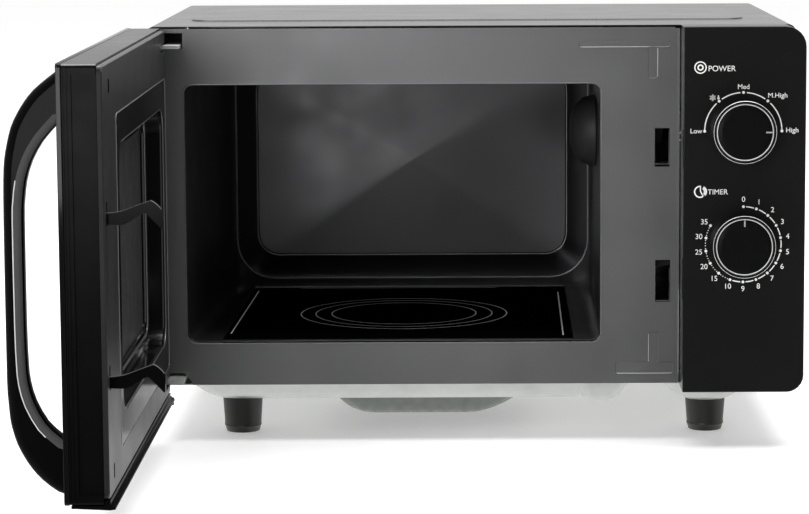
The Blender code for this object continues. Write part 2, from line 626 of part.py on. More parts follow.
def make_electrics():
    magnetron = box("magnetron", (MAGNETRON_X - 0.0370, MAGNETRON_Y - 0.0400, 0.0584),
                    (MAGNETRON_X + 0.0370, MAGNETRON_Y + 0.0400, 0.1400), ZINC)
    through = box("magnetron_core_space", (MAGNETRON_X - 0.0355, MAGNETRON_Y - 0.0500, 0.0600),
                  (MAGNETRON_X + 0.0355, MAGNETRON_Y + 0.0500, 0.1385))
    cut(magnetron, through)
    core = rod("magnetron_core", (MAGNETRON_X, MAGNETRON_Y, 0.0590), 0.0190, 0.0805, "Z", None, 16)
    fins = slot_bank("magnetron_fins", 8, 0, 0.0085,
                     (MAGNETRON_X - 0.0360, MAGNETRON_Y - 0.0360, 0.0690),
                     (MAGNETRON_X + 0.0360, MAGNETRON_Y + 0.0360, 0.0700), "Z")
    antenna = rod("magnetron_antenna", (MAGNETRON_X, MAGNETRON_Y, 0.0450), 0.0085, 0.0160, "Z", None, 16)
    box_top = box("magnetron_filter", (MAGNETRON_X - 0.0330, MAGNETRON_Y - 0.0300, 0.1395),
                  (MAGNETRON_X + 0.0330, MAGNETRON_Y + 0.0300, 0.1600))
    join(magnetron, core, fins, antenna, box_top)

    low, high = (0.1150, 0.1950, PAN_LIP + 0.0013), (0.2020, 0.2700, 0.1050)
    core = box("hv_transformer", low, high, IRON_CORE, 0.002)
    coil = box("transformer_coil", (0.1330, 0.1850, 0.0560), (0.1840, 0.2800, 0.0930))
    round_edges(coil, 0.006, 2)
    foot = box("transformer_foot", (0.1080, 0.1980, PAN_LIP + 0.0013), (0.2090, 0.2670, PAN_LIP + 0.0028))
    join(core, coil, foot)

    can = rounded(0.1320, 0.2020, PAN_LIP + 0.0013, 0.0760, 0.0150, 6)
    capacitor = prism("hv_capacitor", can, 0.0180, 0.0700, "Y", ALUMINIUM)
    tabs = boxes("capacitor_tabs", [
        ((0.1500, 0.0690, 0.0560), (0.1560, 0.0800, 0.0570)),
        ((0.1780, 0.0690, 0.0560), (0.1840, 0.0800, 0.0570)),
    ])
    join(capacitor, tabs)
    rod("hv_diode", (0.2060, 0.0900, 0.0480), 0.0040, 0.0300, "Y", MATT_BLACK, 12)

    shroud = box("fan_shroud", (FAN_X - 0.0530, 0.2840, FAN_Z - 0.0530),
                 (FAN_X + 0.0530, 0.3120, FAN_Z + 0.0530), MATT_BLACK, 0.003)
    bore = rod("fan_bore", (FAN_X, 0.2750, FAN_Z), 0.0470, 0.0500, "Y", None, 32)
    cut(shroud, bore)
    low, high = (FAN_X - 0.0500, 0.2845, FAN_Z - 0.0080), (FAN_X + 0.0500, 0.2870, FAN_Z + 0.0080)
    bridge = box("fan_bridge", low, high)
    axle = rod("fan_bridge_hole", (FAN_X, 0.2800, FAN_Z), 0.00305, 0.0100, "Y", None, 16)
    join(shroud, bridge)
    cut(shroud, axle)
    low, high = (FAN_X - 0.0260, 0.2680, FAN_Z - 0.0230), (FAN_X + 0.0260, 0.2842, FAN_Z + 0.0230)
    motor = box("fan_motor", low, high, IRON_CORE, 0.002)
    winding = rod("fan_winding", (FAN_X + 0.0120, 0.2600, FAN_Z), 0.0130, 0.0100, "Y", None, 16)
    join(motor, winding)
    blade_line = []
    for blade in range(5):
        turn = 72 * blade
        blade_line += arc((0, 0), 0.0440, turn, turn + 38, 4)
        blade_line += arc((0, 0), 0.0120, turn + 48, turn + 62, 1)
    blades = prism("fan_blade", blade_line, 0.2940, 0.2960, "Y", MATT_BLACK, (FAN_X, FAN_Z))
    hub = rod("fan_hub", (FAN_X, 0.2890, FAN_Z), 0.0130, 0.0120, "Y", None, 20)
    stub = rod("fan_stub", (FAN_X, 0.2845, FAN_Z), 0.0030, 0.0060, "Y", None, 16)
    join(blades, hub, stub)

    board = box("noise_filter_board", (0.1050, 0.3105, 0.2350), (0.1950, 0.3120, 0.2850), BOARD_GREEN)
    bits = boxes("filter_bits", [
        ((0.1100, 0.2900, 0.2600), (0.1300, 0.3110, 0.2800)),
        ((0.1380, 0.2950, 0.2620), (0.1520, 0.3110, 0.2780)),
        ((0.1600, 0.2980, 0.2580), (0.1860, 0.3110, 0.2640)),
        ((0.1600, 0.2980, 0.2700), (0.1860, 0.3110, 0.2760)),
    ])
    join(board, bits)

    cutout = rod("thermal_cutout_magnetron", (0.0960, MAGNETRON_Y, 0.0900), 0.0080, 0.0067,
                 "X", STEEL, 16)
    cutout_wall = rod("thermal_cutout_cavity", (0.0965, 0.0900, 0.1850), 0.0080, 0.0080, "X", STEEL, 16)
    lamp = turned("oven_lamp", [(0, 0.0320), (0.0080, 0.0290), (0.0100, 0.0220), (0.0070, 0.0130),
                                (0.0060, 0.0100), (0, 0.0100)],
                  (0.1350, LAMP_Y, LAMP_Z), "-X", LAMP_GLASS, 16)
    socket = rod("lamp_socket", (0.1253, LAMP_Y, LAMP_Z), 0.0100, 0.0180, "X", WHITE_PLASTIC, 16)
    return magnetron, cutout, cutout_wall, lamp, socket


# --------------------------------------------------------- controls and latch


def make_controls():
    outline = rounded(PANEL_LEFT, PANEL_RIGHT, PANEL_BOTTOM, PANEL_TOP, (0, 0.012, 0.014, 0), 6)
    panel = prism("control_panel", outline, PANEL_FRONT, 0.0008, "Y", GLOSS_BLACK)
    round_edges(panel, 0.0010, 2)
    inside = rounded(PANEL_LEFT + PANEL_WALL, PANEL_RIGHT - PANEL_WALL, PANEL_BOTTOM + PANEL_WALL,
                     PANEL_TOP - PANEL_WALL, (0, 0.0095, 0.0115, 0), 6)
    hollow = prism("panel_hollow", inside, PANEL_FRONT + PANEL_WALL, 0.0050, "Y")
    cut(panel, hollow)
    behind = PANEL_FRONT + PANEL_WALL + GAP
    for name, z, unit, half, depth in (
        ("power", POWER_Z, "power_switch", 0.0180, 0.030), ("timer", TIMER_Z, "timer_unit", 0.0230, 0.038)
    ):
        cut(panel, rod(f"{name}_hole", (DIAL_X, PANEL_FRONT - 0.005, z), 0.00305, 0.010, "Y", None, 20))
        low, high = (DIAL_X - half, behind, z - half), (DIAL_X + half, behind + depth, z + half)
        box(unit, low, high, WHITE_PLASTIC, 0.002)
        start = KNOB_FRONT + 0.0060
        rod(f"{name}_shaft", (DIAL_X, start, z), 0.0030, behind - GAP - start, "Y", STEEL, 20)
        back = PANEL_FRONT - GAP - KNOB_FRONT
        knob = turned(
            f"{name}_knob",
            [(0, back), (0.0195, back), (0.0212, back - 0.0010), (KNOB_RADIUS, back - 0.0050),
             (KNOB_RADIUS, 0.0016), (0.0212, 0.0003), (0.0202, 0.0003), (0.0198, 0.0012), (0.0190, 0.0012),
             (0.0160, 0.0009), (0, 0.0009)],
            (DIAL_X, KNOB_FRONT, z), "Y", GLOSS_BLACK, 48,
        )
        socket = rod(f"{name}_socket", (DIAL_X, start - GAP, z), 0.00305, 0.020, "Y", None, 20)
        cut(knob, socket)


def make_latch_seat():
    wall_x = 0.1420
    board = box("latch_board", (wall_x, 0.0104, 0.0850), (wall_x + 0.0030, 0.0500, 0.2400), MATT_BLACK)
    shelves = []
    for i, z in enumerate(HOOK_HEIGHTS):
        ledges = (("shelf", 0.0262, z - 0.0150, z - 0.0064), ("roof", 0.0500, z + 0.0180, z + 0.0210))
        for name, back, low, high in ledges:
            ledge = box(f"latch_{name}_{i}", (0.1270, 0.0110, low), (wall_x + 0.001, back, high))
            shelves.append(ledge)
    join(board, *shelves)
    places = (("upper", HOOK_HEIGHTS[0] - 0.024, 0.034), ("middle", HOOK_HEIGHTS[1] + 0.032, 0.034),
              ("lower", HOOK_HEIGHTS[1] - 0.0160, 0.034))
    for name, z, y in places:
        low, high = (0.1290, y, z - 0.0080), (wall_x - GAP, y + 0.0150, z + 0.0080)
        body = box(f"microswitch_{name}", low, high, MATT_BLACK, 0.0008)
        low, high = (0.1330, y + 0.0140, z - 0.0055), (0.1370, y + 0.0190, z + 0.0055)
        join(body, box(f"{name}_terminals", low, high))
    return board


# ----------------------------------------------------------------------- door


def hinge_outline():
    """The arm seen from above: round the pin, across, then back through the front plate."""
    x, y = HINGE_X, HINGE_Y
    return arc((x, y), 0.0042, 90, 270, 6) + [
        (-0.2030, y - 0.0042), (-0.2030, 0.0250), (-0.2140, 0.0250), (-0.2140, y + 0.0042),
    ]


def make_hinges():
    for name, low, high, pin_from, pin_length in (
        ("upper_hinge", 0.2803, 0.2826, 0.2700, 0.0110),
        ("lower_hinge", 0.0443, 0.0475, 0.0470, 0.0110),
    ):
        arm = prism(name, hinge_outline(), low, high, "Z", STEEL)
        pin = rod(f"{name}_pin", (HINGE_X, HINGE_Y, pin_from), 0.0025, pin_length, "Z", None, 16)
        join(arm, pin)


def swing_cutter(name, low, high):
    """The space that a fixed hinge arm sweeps through inside the door."""
    return box(name, (DOOR_LEFT - 0.0050, HINGE_Y - 0.0050, low), (HINGE_X + 0.0260, 0.0100, high))


def window_loop(inset, radius):
    """The clear opening inside the window border, drawn in by inset."""
    side, end = BORDER_SIDE + inset, BORDER_END + inset
    left, right = WINDOW_LEFT + side, WINDOW_RIGHT - side
    return rounded(left, right, WINDOW_BOTTOM + end, WINDOW_TOP - end, radius, 6)


def make_door():
    HOLDER["of"] = DOOR
    face = rounded(DOOR_LEFT, DOOR_RIGHT, DOOR_BOTTOM, DOOR_TOP, 0.0025, 3)
    glass = prism("door_front_glass", face, DOOR_FRONT, DOOR_FRONT + DOOR_SKIN, "Y", SMOKED_GLASS)
    round_edges(glass, 0.0008, 2)

    inset = 0.0004
    frame_front, frame_back = DOOR_FRONT + DOOR_SKIN + GAP, DOOR_BACK - 0.0035
    body = rounded(DOOR_LEFT + inset, DOOR_RIGHT - inset, DOOR_BOTTOM + inset, DOOR_TOP - inset, 0.0022, 3)
    frame = prism("door_frame", body, frame_front, frame_back, "Y", MATT_BLACK)
    view = window_loop(0.0115, 0.008)
    pan_room = window_loop(-0.002, 0.012)
    border_room = rounded(WINDOW_LEFT - 0.0015, WINDOW_RIGHT + 0.0015, WINDOW_BOTTOM - 0.0015,
                          WINDOW_TOP + 0.0015, 0.006, 4)
    bar_back = -0.0110
    channel = box("latch_channel", (HOOK_X - 0.0035, -0.0195, 0.0780), (HOOK_X + 0.0035, 0.01, 0.2500))
    cut(
        frame,
        prism("frame_view", view, -0.05, 0.05, "Y"),
        prism("frame_pan_room", pan_room, DOOR_BACK - WINDOW_DEPTH - 0.0022, 0.05, "Y"),
        prism("frame_border_room", border_room, -0.0090, 0.05, "Y"),
        channel,
        boxes("end_grooves", [
            ((0.1454, -0.0236, 0.0300), (0.15, -0.0230, 0.3000)),
            ((0.1454, -0.0216, 0.0300), (0.15, -0.0210, 0.3000)),
            ((0.1444, -0.0190, 0.0400), (0.15, 0.01, 0.2877)),
        ]),
        swing_cutter("frame_upper_swing", 0.2785, 0.2845),
        swing_cutter("frame_lower_swing", 0.0425, 0.0493),
        rod("upper_pin_bore", (HINGE_X, HINGE_Y, 0.2690), 0.00255, 0.0150, "Z", None, 16),
        rod("lower_pin_bore", (HINGE_X, HINGE_Y, 0.0450), 0.00255, 0.0145, "Z", None, 16),
    )

    rim = DOOR_BACK
    left, right, bottom, top = DOOR_LEFT + 0.0054, 0.1460, 0.0377, 0.2928
    stations = (
        (rim - 0.0032, left, right, bottom, top, 0.0040),
        (rim - 0.0008, left, right, bottom, top, 0.0040),
        (rim, left + 0.0008, right - 0.0008, bottom + 0.0008, top - 0.0008, 0.0038),
    )
    loops = [[(x, y, z) for x, z in rounded(a, b, c, d, r, 6)] for y, a, b, c, d, r in stations]
    seat = rim - BORDER_THICK - GAP
    outer_rim = rounded(WINDOW_LEFT, WINDOW_RIGHT, WINDOW_BOTTOM, WINDOW_TOP, 0.0050, 6)
    left, right = WINDOW_LEFT + GAP, WINDOW_RIGHT - GAP
    inner_rim = rounded(left, right, WINDOW_BOTTOM + GAP, WINDOW_TOP - GAP, 0.0047, 6)
    loops.append([(x, rim, z) for x, z in outer_rim])
    loops.append([(x, seat, z) for x, z in inner_rim])
    floor = rim - WINDOW_DEPTH
    for y, inset, radius in (
        (seat, 0.0002, 0.0170), (seat - 0.0010, 0.0010, 0.0168), (floor + 0.0015, 0.0016, 0.0164),
        (floor, 0.0030, 0.0150), (floor, 0.0070, 0.0110), (floor + 0.0015, 0.0085, 0.0100),
        (floor + 0.0015, 0.0095, 0.0090), (floor, 0.0110, 0.0080), (floor, 0.0135, 0.0070),
    ):
        loops.append([(x, y, z) for x, z in window_loop(inset, radius)])
    inner = sheet_of_loops("door_inner_panel", loops, BLACK_PAINT, SHEET, None, 1)
    hook_slots = [((HOOK_X - 0.0027, -0.02, z - 0.0050), (HOOK_X + 0.0027, 0.01, z + 0.0045 + LATCH_LIFT))
                  for z in HOOK_HEIGHTS]
    small_slots = [
        ((0.1097, -0.01, 0.2747), (0.1167, 0.01, 0.2832)),
        ((0.1177, -0.01, 0.0458), (0.1227, 0.01, 0.0548)),
    ]
    cut(
        inner,
        boxes("inner_slots", hook_slots + small_slots),
        swing_cutter("inner_upper_swing", 0.2785, 0.2845),
        swing_cutter("inner_lower_swing", 0.0425, 0.0493),
    )

    behind = DOOR_BACK - WINDOW_DEPTH - SHEET - GAP
    screen = window_loop(0.0120, 0.0075)
    prism("door_screen", screen, behind - 0.0005, behind, "Y", BLACK_PAINT)

    lip = 0.0005
    outer = rounded(WINDOW_LEFT + lip, WINDOW_RIGHT - lip, WINDOW_BOTTOM + lip, WINDOW_TOP - lip, 0.0045, 4)
    border = prism("door_window_border", outer, DOOR_BACK - BORDER_THICK, DOOR_BACK, "Y", GLOSS_BLACK)
    cut(border, prism("border_opening", window_loop(-0.0002, 0.0172), -0.02, 0.02, "Y"))

    trim_line = [
        (frame_back + 0.0003, 0.0339), (frame_back + 0.0003, 0.0370), (DOOR_BACK + 0.0002, 0.0370),
        (DOOR_BACK + 0.0002, 0.0350), (0.0021, 0.0326), (0.0021, 0.0317),
        (-0.0010, 0.0312), (-0.0240, 0.0322),
        (-0.0240, 0.0336),
    ]
    trim = prism("door_bottom_trim", trim_line, DOOR_LEFT + 0.0065, DOOR_RIGHT - 0.0020, "X", MATT_BLACK)
    knob = rod("trim_end", (DOOR_LEFT + 0.0095, -0.0012, 0.0290), 0.0030, 0.0050, "Z", None, 12)
    join(trim, knob)

    make_handle()
    make_latch(bar_back)
    DOOR.rotation_euler = (0, 0, -DOOR_OPEN)


def drawn_in(points, inset):
    """An open line from the door face and back to it, moved sideways into the handle."""
    last = len(points) - 1
    moved = []
    for i, (y, z) in enumerate(points):
        before, after = points[max(i - 1, 0)], points[min(i + 1, last)]
        along = Vector((after[0] - before[0], after[1] - before[1])).normalized()
        y = max(y + along[1] * inset, 0)
        moved.append((0 if i in (0, last) else y, z - along[0] * inset))
    return moved


def make_handle():
    face = DOOR_FRONT
    outer = (
        (0, 0.2904), (0.0087, 0.2839), (0.0170, 0.2769), (0.0228, 0.2698), (0.0271, 0.2628),
        (0.0308, 0.2550),
        (0.0334, 0.2450), (0.0351, 0.2356), (0.0359, 0.2238), (0.0363, 0.2000), (0.0365, 0.1500),
        (0.0365, 0.1043), (0.0360, 0.0922), (0.0350, 0.0801), (0.0334, 0.0728), (0.0311, 0.0655),
        (0.0276, 0.0583), (0.0230, 0.0510), (0.0165, 0.0436), (0.0070, 0.0363), (0, 0.0345),
    )
    inner = (
        (0, 0.0665), (0.0060, 0.0715), (0.0130, 0.0783), (0.0197, 0.0905), (0.0231, 0.1027),
        (0.0241, 0.1150),
        (0.0246, 0.1390), (0.0246, 0.1990), (0.0240, 0.2109), (0.0225, 0.2228), (0.0188, 0.2347),
        (0.0121, 0.2465), (0.0032, 0.2565), (0, 0.2600),
    )
    outer, inner = smoothed(outer, 2), smoothed(inner, 2)
    steps = []
    for turn in (0, pi / 6, pi / 3, pi / 2):
        half = HANDLE_WIDTH / 2 - HANDLE_SOFT * (1 - sin(turn))
        steps.append((half, HANDLE_SOFT * (1 - cos(turn))))
    layers = [(-s, inset) for s, inset in reversed(steps)] + steps

    def build(bm):
        rows = []
        for shift, inset in layers:
            line = drawn_in(outer, inset) + drawn_in(inner, inset)
            rows.append([bm.verts.new((HANDLE_X + shift, face - GAP - y, z)) for y, z in line])
        bm.faces.new(rows[0])
        bm.faces.new(reversed(rows[-1]))
        count = len(rows[0])
        for near, far in zip(rows, rows[1:]):
            for i in range(count):
                j = (i + 1) % count
                bm.faces.new((near[j], near[i], far[i], far[j]))
        bmesh.ops.recalc_face_normals(bm, faces=bm.faces)

    shade(place("handle", mesh_from("handle", build), GLOSS_BLACK))


def make_latch(bar_back):
    """Two hooks on one sliding bar, in one outline."""
    hook = (
        (-0.0006, -0.0036), (0.0090, -0.0035), (0.0161, 0.0006), (0.0208, 0.0030), (0.0231, 0.0018),
        (0.0283, -0.0035), (0.0306, -0.0060), (0.0315, -0.0053), (0.0317, 0.0023), (0.0302, 0.0062),
        (0.0256, 0.0101), (0.0227, 0.0097), (0.0162, 0.0074), (0.0074, 0.0042), (-0.0005, 0.0031),
    )
    low, high = 0.0860, 0.2250
    line = [(-0.0180, low), (bar_back, low)]
    for z in reversed(HOOK_HEIGHTS):
        line.append((bar_back, z - 0.0036))
        line += [(y, z + dz) for y, dz in smoothed(hook, 3)]
        line.append((bar_back, z + 0.0031))
    line += [(bar_back, high), (-0.0180, high)]
    prism("door_latch", line, HOOK_X - HOOK_THICK / 2, HOOK_X + HOOK_THICK / 2, "X", MATT_BLACK)

    turns, per_turn, low, high = 4, 10, 0.2258, 0.2494
    curve = bpy.data.curves.new("latch_spring", "CURVE")
    curve.dimensions = "3D"
    curve.bevel_depth = 0.0003
    curve.bevel_resolution = 1
    curve.use_fill_caps = True
    spline = curve.splines.new("POLY")
    count = turns * per_turn
    spline.points.add(count)
    for i, point in enumerate(spline.points):
        angle = 2 * pi * i / per_turn
        point.co = (0.0022 * cos(angle), 0.0022 * sin(angle), (high - low) * i / count, 1)
    drawn = bpy.data.objects.new("spring_line", curve)
    PARTS.objects.link(drawn)
    bpy.context.view_layer.update()
    mesh = bpy.data.meshes.new_from_object(drawn.evaluated_get(bpy.context.evaluated_depsgraph_get()))
    bpy.data.objects.remove(drawn)
    bpy.data.curves.remove(curve)
    mesh.materials.clear()
    place("latch_spring", mesh, STEEL, (HOOK_X, -0.0145, low))


make_shell()
make_base()
make_front_plate()
make_cavity()
make_stirrer()
make_electrics()
make_controls()
make_latch_seat()
make_hinges()
make_door()
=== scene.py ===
"""Looks of the flatbed microwave oven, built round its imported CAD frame.

Sizes are in metres in the oven's build frame: X from the middle of the oven's width, Y from the
front plate to the rear and Z from the table. at() moves them into the row frame, which holds the
door open at rest. Pieces on the door are measured on the shut door and turned by door_loop(), or
are read from the open door's own meshes.
"""

from math import cos, pi, radians, sin

import bmesh
import bpy
from mathutils import Matrix, Vector


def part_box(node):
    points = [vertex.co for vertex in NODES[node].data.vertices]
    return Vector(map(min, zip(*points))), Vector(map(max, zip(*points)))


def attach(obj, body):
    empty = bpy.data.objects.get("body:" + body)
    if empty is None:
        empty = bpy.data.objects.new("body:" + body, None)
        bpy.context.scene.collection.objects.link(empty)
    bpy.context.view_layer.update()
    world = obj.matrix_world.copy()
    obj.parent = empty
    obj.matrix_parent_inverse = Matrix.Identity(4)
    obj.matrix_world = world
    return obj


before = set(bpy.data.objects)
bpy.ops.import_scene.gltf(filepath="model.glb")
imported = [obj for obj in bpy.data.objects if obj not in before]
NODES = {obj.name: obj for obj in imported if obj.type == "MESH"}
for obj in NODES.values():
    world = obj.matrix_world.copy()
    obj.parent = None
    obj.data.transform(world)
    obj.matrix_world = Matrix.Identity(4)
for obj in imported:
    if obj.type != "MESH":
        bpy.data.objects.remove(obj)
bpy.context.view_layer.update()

# The frame's origin, in the build frame
ORIGIN_X, ORIGIN_Y = -0.02295, -0.02980
# A point of the shut door goes to x = y + DOOR_SHIFT and y = -DOOR_TURN - x on the open one
DOOR_SHIFT, DOOR_TURN = -0.2125, 0.2303
DIAL_X, POWER_Z, TIMER_Z = 0.1882, 0.2234, 0.1440
PANEL_FACE_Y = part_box("control_panel")[0][1] + ORIGIN_Y
KNOB_FACE_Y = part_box("power_knob")[0][1] + ORIGIN_Y


def at(x, y, z):
    return Vector((x - ORIGIN_X, y - ORIGIN_Y, z))


# ---------------------------------------------------------------- materials

WHITE_LIGHT = (1, 1, 1, 1)
NOISE_ROUGHNESS = 0.55
BUMP_DEPTH = 0.0001
# Most of a noise texture's values lie between these two
NOISE_LOW, NOISE_HIGH = 0.3, 0.7
# The screen's holes: their number per metre, the slope of their rows, which rise towards the
# hinge, and the distances from a hole's middle, in spacings, between which dark turns to light
HOLES_PER_METRE, ROW_SLOPE = 360.0, -0.026
HOLE_EDGE = (0.30, 0.42)
HOLE_DARK, METAL_LIGHT = 0.05, 5.0


def maths(tree, operation, *values):
    """A maths node whose inputs are numbers or other nodes' outputs."""
    made = tree.nodes.new("ShaderNodeMath")
    made.operation = operation
    for i, value in enumerate(values):
        if isinstance(value, (int, float)):
            made.inputs[i].default_value = value
        else:
            tree.links.new(value, made.inputs[i])
    return made.outputs["Value"]


def map_range(tree, value, from_low, from_high, to_low, to_high, kind="LINEAR"):
    made = tree.nodes.new("ShaderNodeMapRange")
    made.interpolation_type = kind
    limits = {"From Min": from_low, "From Max": from_high, "To Min": to_low, "To Max": to_high}
    for socket, limit in limits.items():
        made.inputs[socket].default_value = limit
    tree.links.new(value, made.inputs["Value"])
    return made.outputs["Result"]


class Surface:
    """Builds one node material: a Principled shader with mixed colour, roughness and bump."""

    def __init__(self, name, colour, roughness, metallic=0.0):
        self.material = bpy.data.materials.new(name)
        self.material.use_nodes = True
        self.tree = self.material.node_tree
        self.shader = self.tree.nodes["Principled BSDF"]
        self.colour = colour
        self.place = self.tree.nodes.new("ShaderNodeTexCoord")
        self.set("Base Color", (*colour, 1))
        self.set("Roughness", roughness)
        self.set("Metallic", metallic)

    def set(self, socket, value):
        self.shader.inputs[socket].default_value = value
        return self

    def node(self, kind, **settings):
        made = self.tree.nodes.new(kind)
        for key, value in settings.items():
            if key in made.inputs:
                made.inputs[key].default_value = value
            else:
                setattr(made, key, value)
        return made

    def link(self, a, b):
        self.tree.links.new(a, b)

    def noise(self, scale, detail, stretch=(1, 1, 1)):
        turn = self.node("ShaderNodeMapping")
        turn.inputs["Scale"].default_value = stretch
        self.link(self.place.outputs["Object"], turn.inputs["Vector"])
        made = self.node("ShaderNodeTexNoise", Scale=scale, Detail=detail,
                         Roughness=NOISE_ROUGHNESS)
        self.link(turn.outputs["Vector"], made.inputs["Vector"])
        return made.outputs["Fac"]

    def tint(self, value, dark, light, low=NOISE_LOW, high=NOISE_HIGH):
        """Varies the colour between a darker and a lighter one, as value goes from low to high."""
        ramp = self.node("ShaderNodeValToRGB")
        first, last = ramp.color_ramp.elements
        first.position, last.position = low, high
        first.color = (*[c * dark for c in self.colour], 1)
        last.color = (*[min(1, c * light) for c in self.colour], 1)
        self.link(value, ramp.inputs["Fac"])
        self.link(ramp.outputs["Color"], self.shader.inputs["Base Color"])
        return self

    def gloss(self, value, low, high):
        """Varies the roughness between low and high."""
        varied = map_range(self.tree, value, NOISE_LOW, NOISE_HIGH, low, high)
        self.link(varied, self.shader.inputs["Roughness"])
        return self

    def bump(self, value, strength, distance=BUMP_DEPTH):
        made = self.node("ShaderNodeBump", Strength=strength, Distance=distance)
        self.link(value, made.inputs["Height"])
        self.link(made.outputs["Normal"], self.shader.inputs["Normal"])
        return self

    def specular(self, level):
        return self.set("Specular IOR Level", level)

    def coat(self, weight, roughness):
        return self.set("Coat Weight", weight).set("Coat Roughness", roughness)

    def glow(self, strength):
        return self.set("Emission Color", WHITE_LIGHT).set("Emission Strength", strength)


def painted(name, colour, roughness, metallic, peel):
    """Paint or enamel, with fine orange peel."""
    made = Surface(name, colour, roughness, metallic)
    made.tint(made.noise(9.0, 3.0), 0.97, 1.03, 0.0, 1.0)
    made.gloss(made.noise(26.0, 6.0), roughness * 0.88, roughness * 1.14)
    return made.bump(made.noise(700.0, 2.0), peel)


def moulded(name, colour, roughness, grain=900.0, depth=0.12):
    """Moulded plastic, with a fine grain."""
    made = Surface(name, colour, roughness)
    made.tint(made.noise(14.0, 3.0), 0.93, 1.07)
    made.gloss(made.noise(60.0, 5.0), roughness * 0.88, roughness * 1.15)
    return made.bump(made.noise(grain, 2.0), depth)


def sheet_metal(name, colour, roughness, stretch, grain, metallic=1.0):
    """Bare metal. Its grain is long where the stretch is small and close where it is large."""
    made = Surface(name, colour, roughness, metallic)
    lines = made.noise(grain, 5.0, stretch)
    made.tint(made.noise(22.0, 5.0), 0.90, 1.06).gloss(lines, roughness * 0.8, roughness * 1.25)
    return made.bump(lines, 0.08)


def screen_finish():
    """Black metal with rows of small round holes, a little off level, seen through the window."""
    made = Surface("screen_black", (0.012, 0.012, 0.012), 0.36)
    parts = made.node("ShaderNodeSeparateXYZ")
    made.link(made.place.outputs["Object"], parts.inputs["Vector"])
    drop = maths(made.tree, "MULTIPLY", parts.outputs["Y"], ROW_SLOPE)
    level = maths(made.tree, "ADD", parts.outputs["Z"], drop)
    flat = made.node("ShaderNodeCombineXYZ")
    made.link(parts.outputs["Y"], flat.inputs["X"])
    made.link(level, flat.inputs["Y"])
    cells = made.node("ShaderNodeTexVoronoi", voronoi_dimensions="2D", Scale=HOLES_PER_METRE,
                      Randomness=0.0)
    made.link(flat.outputs["Vector"], cells.inputs["Vector"])
    holes = map_range(made.tree, cells.outputs["Distance"], *HOLE_EDGE, 0.0, 1.0)
    made.tint(holes, HOLE_DARK, METAL_LIGHT, 0.0, 1.0)
    made.gloss(made.noise(60.0, 4.0), 0.30, 0.42)
    return made.bump(cells.outputs["Distance"], 0.3, 0.0003)


def grey(level):
    return (level, level, level)


# Paint and enamel: colour, roughness, metallic, orange peel
CASE_PAINT = painted("case_paint", (0.0095, 0.0095, 0.010), 0.20, 0.0, 0.05).coat(0.25, 0.05)
GREY_ENAMEL = painted("grey_enamel", (0.250, 0.251, 0.256), 0.40, 0.85, 0.10)
CAVITY_ENAMEL = painted("cavity_enamel", (0.155, 0.155, 0.160), 0.34, 0.97, 0.06)
DOME_ENAMEL = painted("dome_enamel", (0.070, 0.070, 0.073), 0.48, 0.5, 0.06)
# A lighter enamel for the bend beads in the oven and at the mouth's right side: a painted highlight
BEND_HIGHLIGHT = painted("bend_painted_highlight", (0.40, 0.40, 0.41), 0.34, 0.90, 0.02)
RIM_ENAMEL = painted("rim_enamel", (0.21, 0.21, 0.215), 0.40, 0.85, 0.02)
# Lit and shaded copies of the plate's enamel for the T shapes' sides and pressed lines: painted
# highlight and painted shade
RIB_HIGHLIGHT = painted("rib_side_painted_highlight", (0.62, 0.62, 0.63), 0.40, 0.20, 0.02)
RIB_SHADE = painted("rib_side_painted_shade", (0.060, 0.060, 0.062), 0.50, 0.50, 0.02)
INNER_BLACK = painted("door_inner_black", grey(0.020), 0.36, 0.0, 0.05).coat(0.3, 0.30)
WINDOW_BLACK = painted("window_black", grey(0.003), 0.12, 0.0, 0.01).specular(0.6)
BORDER_BLACK = painted("border_black", grey(0.002), 0.16, 0.0, 0.01).specular(0.14)
# Light beads on the door window's edges and ridges: a painted highlight
EDGE_HIGHLIGHT = painted("window_edge_painted_highlight", grey(0.30), 0.34, 0.80, 0.02)
CHROME = painted("satin_chrome", (0.74, 0.74, 0.75), 0.36, 0.35, 0.01)
# Glass and ceramic
CERAMIC = painted("black_ceramic_glass", grey(0.0012), 0.14, 0.0, 0.01).specular(0.0)
DOOR_GLASS = painted("door_glass", grey(0.004), 0.06, 0.0, 0.01).specular(0.16)
BULB = painted("bulb_glass", (0.82, 0.81, 0.76), 0.08, 0.0, 0.01)
SCREEN = screen_finish()
# Bare metal: colour, roughness, stretch, grain, metallic
ZINC = sheet_metal("zinc_sheet", (0.58, 0.595, 0.57), 0.38, (1, 0.1, 1), 200.0, 0.85)
# The motor cover is the pan's zinc sheet made darker: painted shade where it faces down into shadow
COVER_SHADE = sheet_metal("cover_sheet_painted_shade", (0.19, 0.205, 0.19), 0.42, (1, 0.1, 1), 200.0, 0.85)
STEEL = sheet_metal("bright_steel", grey(0.72), 0.22, (1, 8, 1), 500.0)
HINGE_STEEL = sheet_metal("hinge_steel", (0.62, 0.63, 0.61), 0.40, (1, 1, 1), 300.0, 0.55)
ALUMINIUM = sheet_metal("plain_aluminium", (0.76, 0.77, 0.78), 0.33, (0.2, 1, 1), 300.0)
IRON = sheet_metal("laminated_iron", (0.17, 0.155, 0.145), 0.55, (1, 1, 40), 120.0, 0.7)
# Plastic: colour, roughness, grain, depth of the grain
PANEL_PLASTIC = moulded("panel_plastic", grey(0.0085), 0.20, 500.0, 0.03).specular(0.30)
FRAME_PLASTIC = moulded("frame_plastic", grey(0.0025), 0.22, 500.0, 0.03).specular(0.05)
# A lighter copy of the frame's black plastic for the door's top faces: a painted highlight
FRAME_TOP_HIGHLIGHT = moulded("frame_top_painted_highlight", (0.030, 0.030, 0.029), 0.30, 500.0, 0.03).specular(0.60)
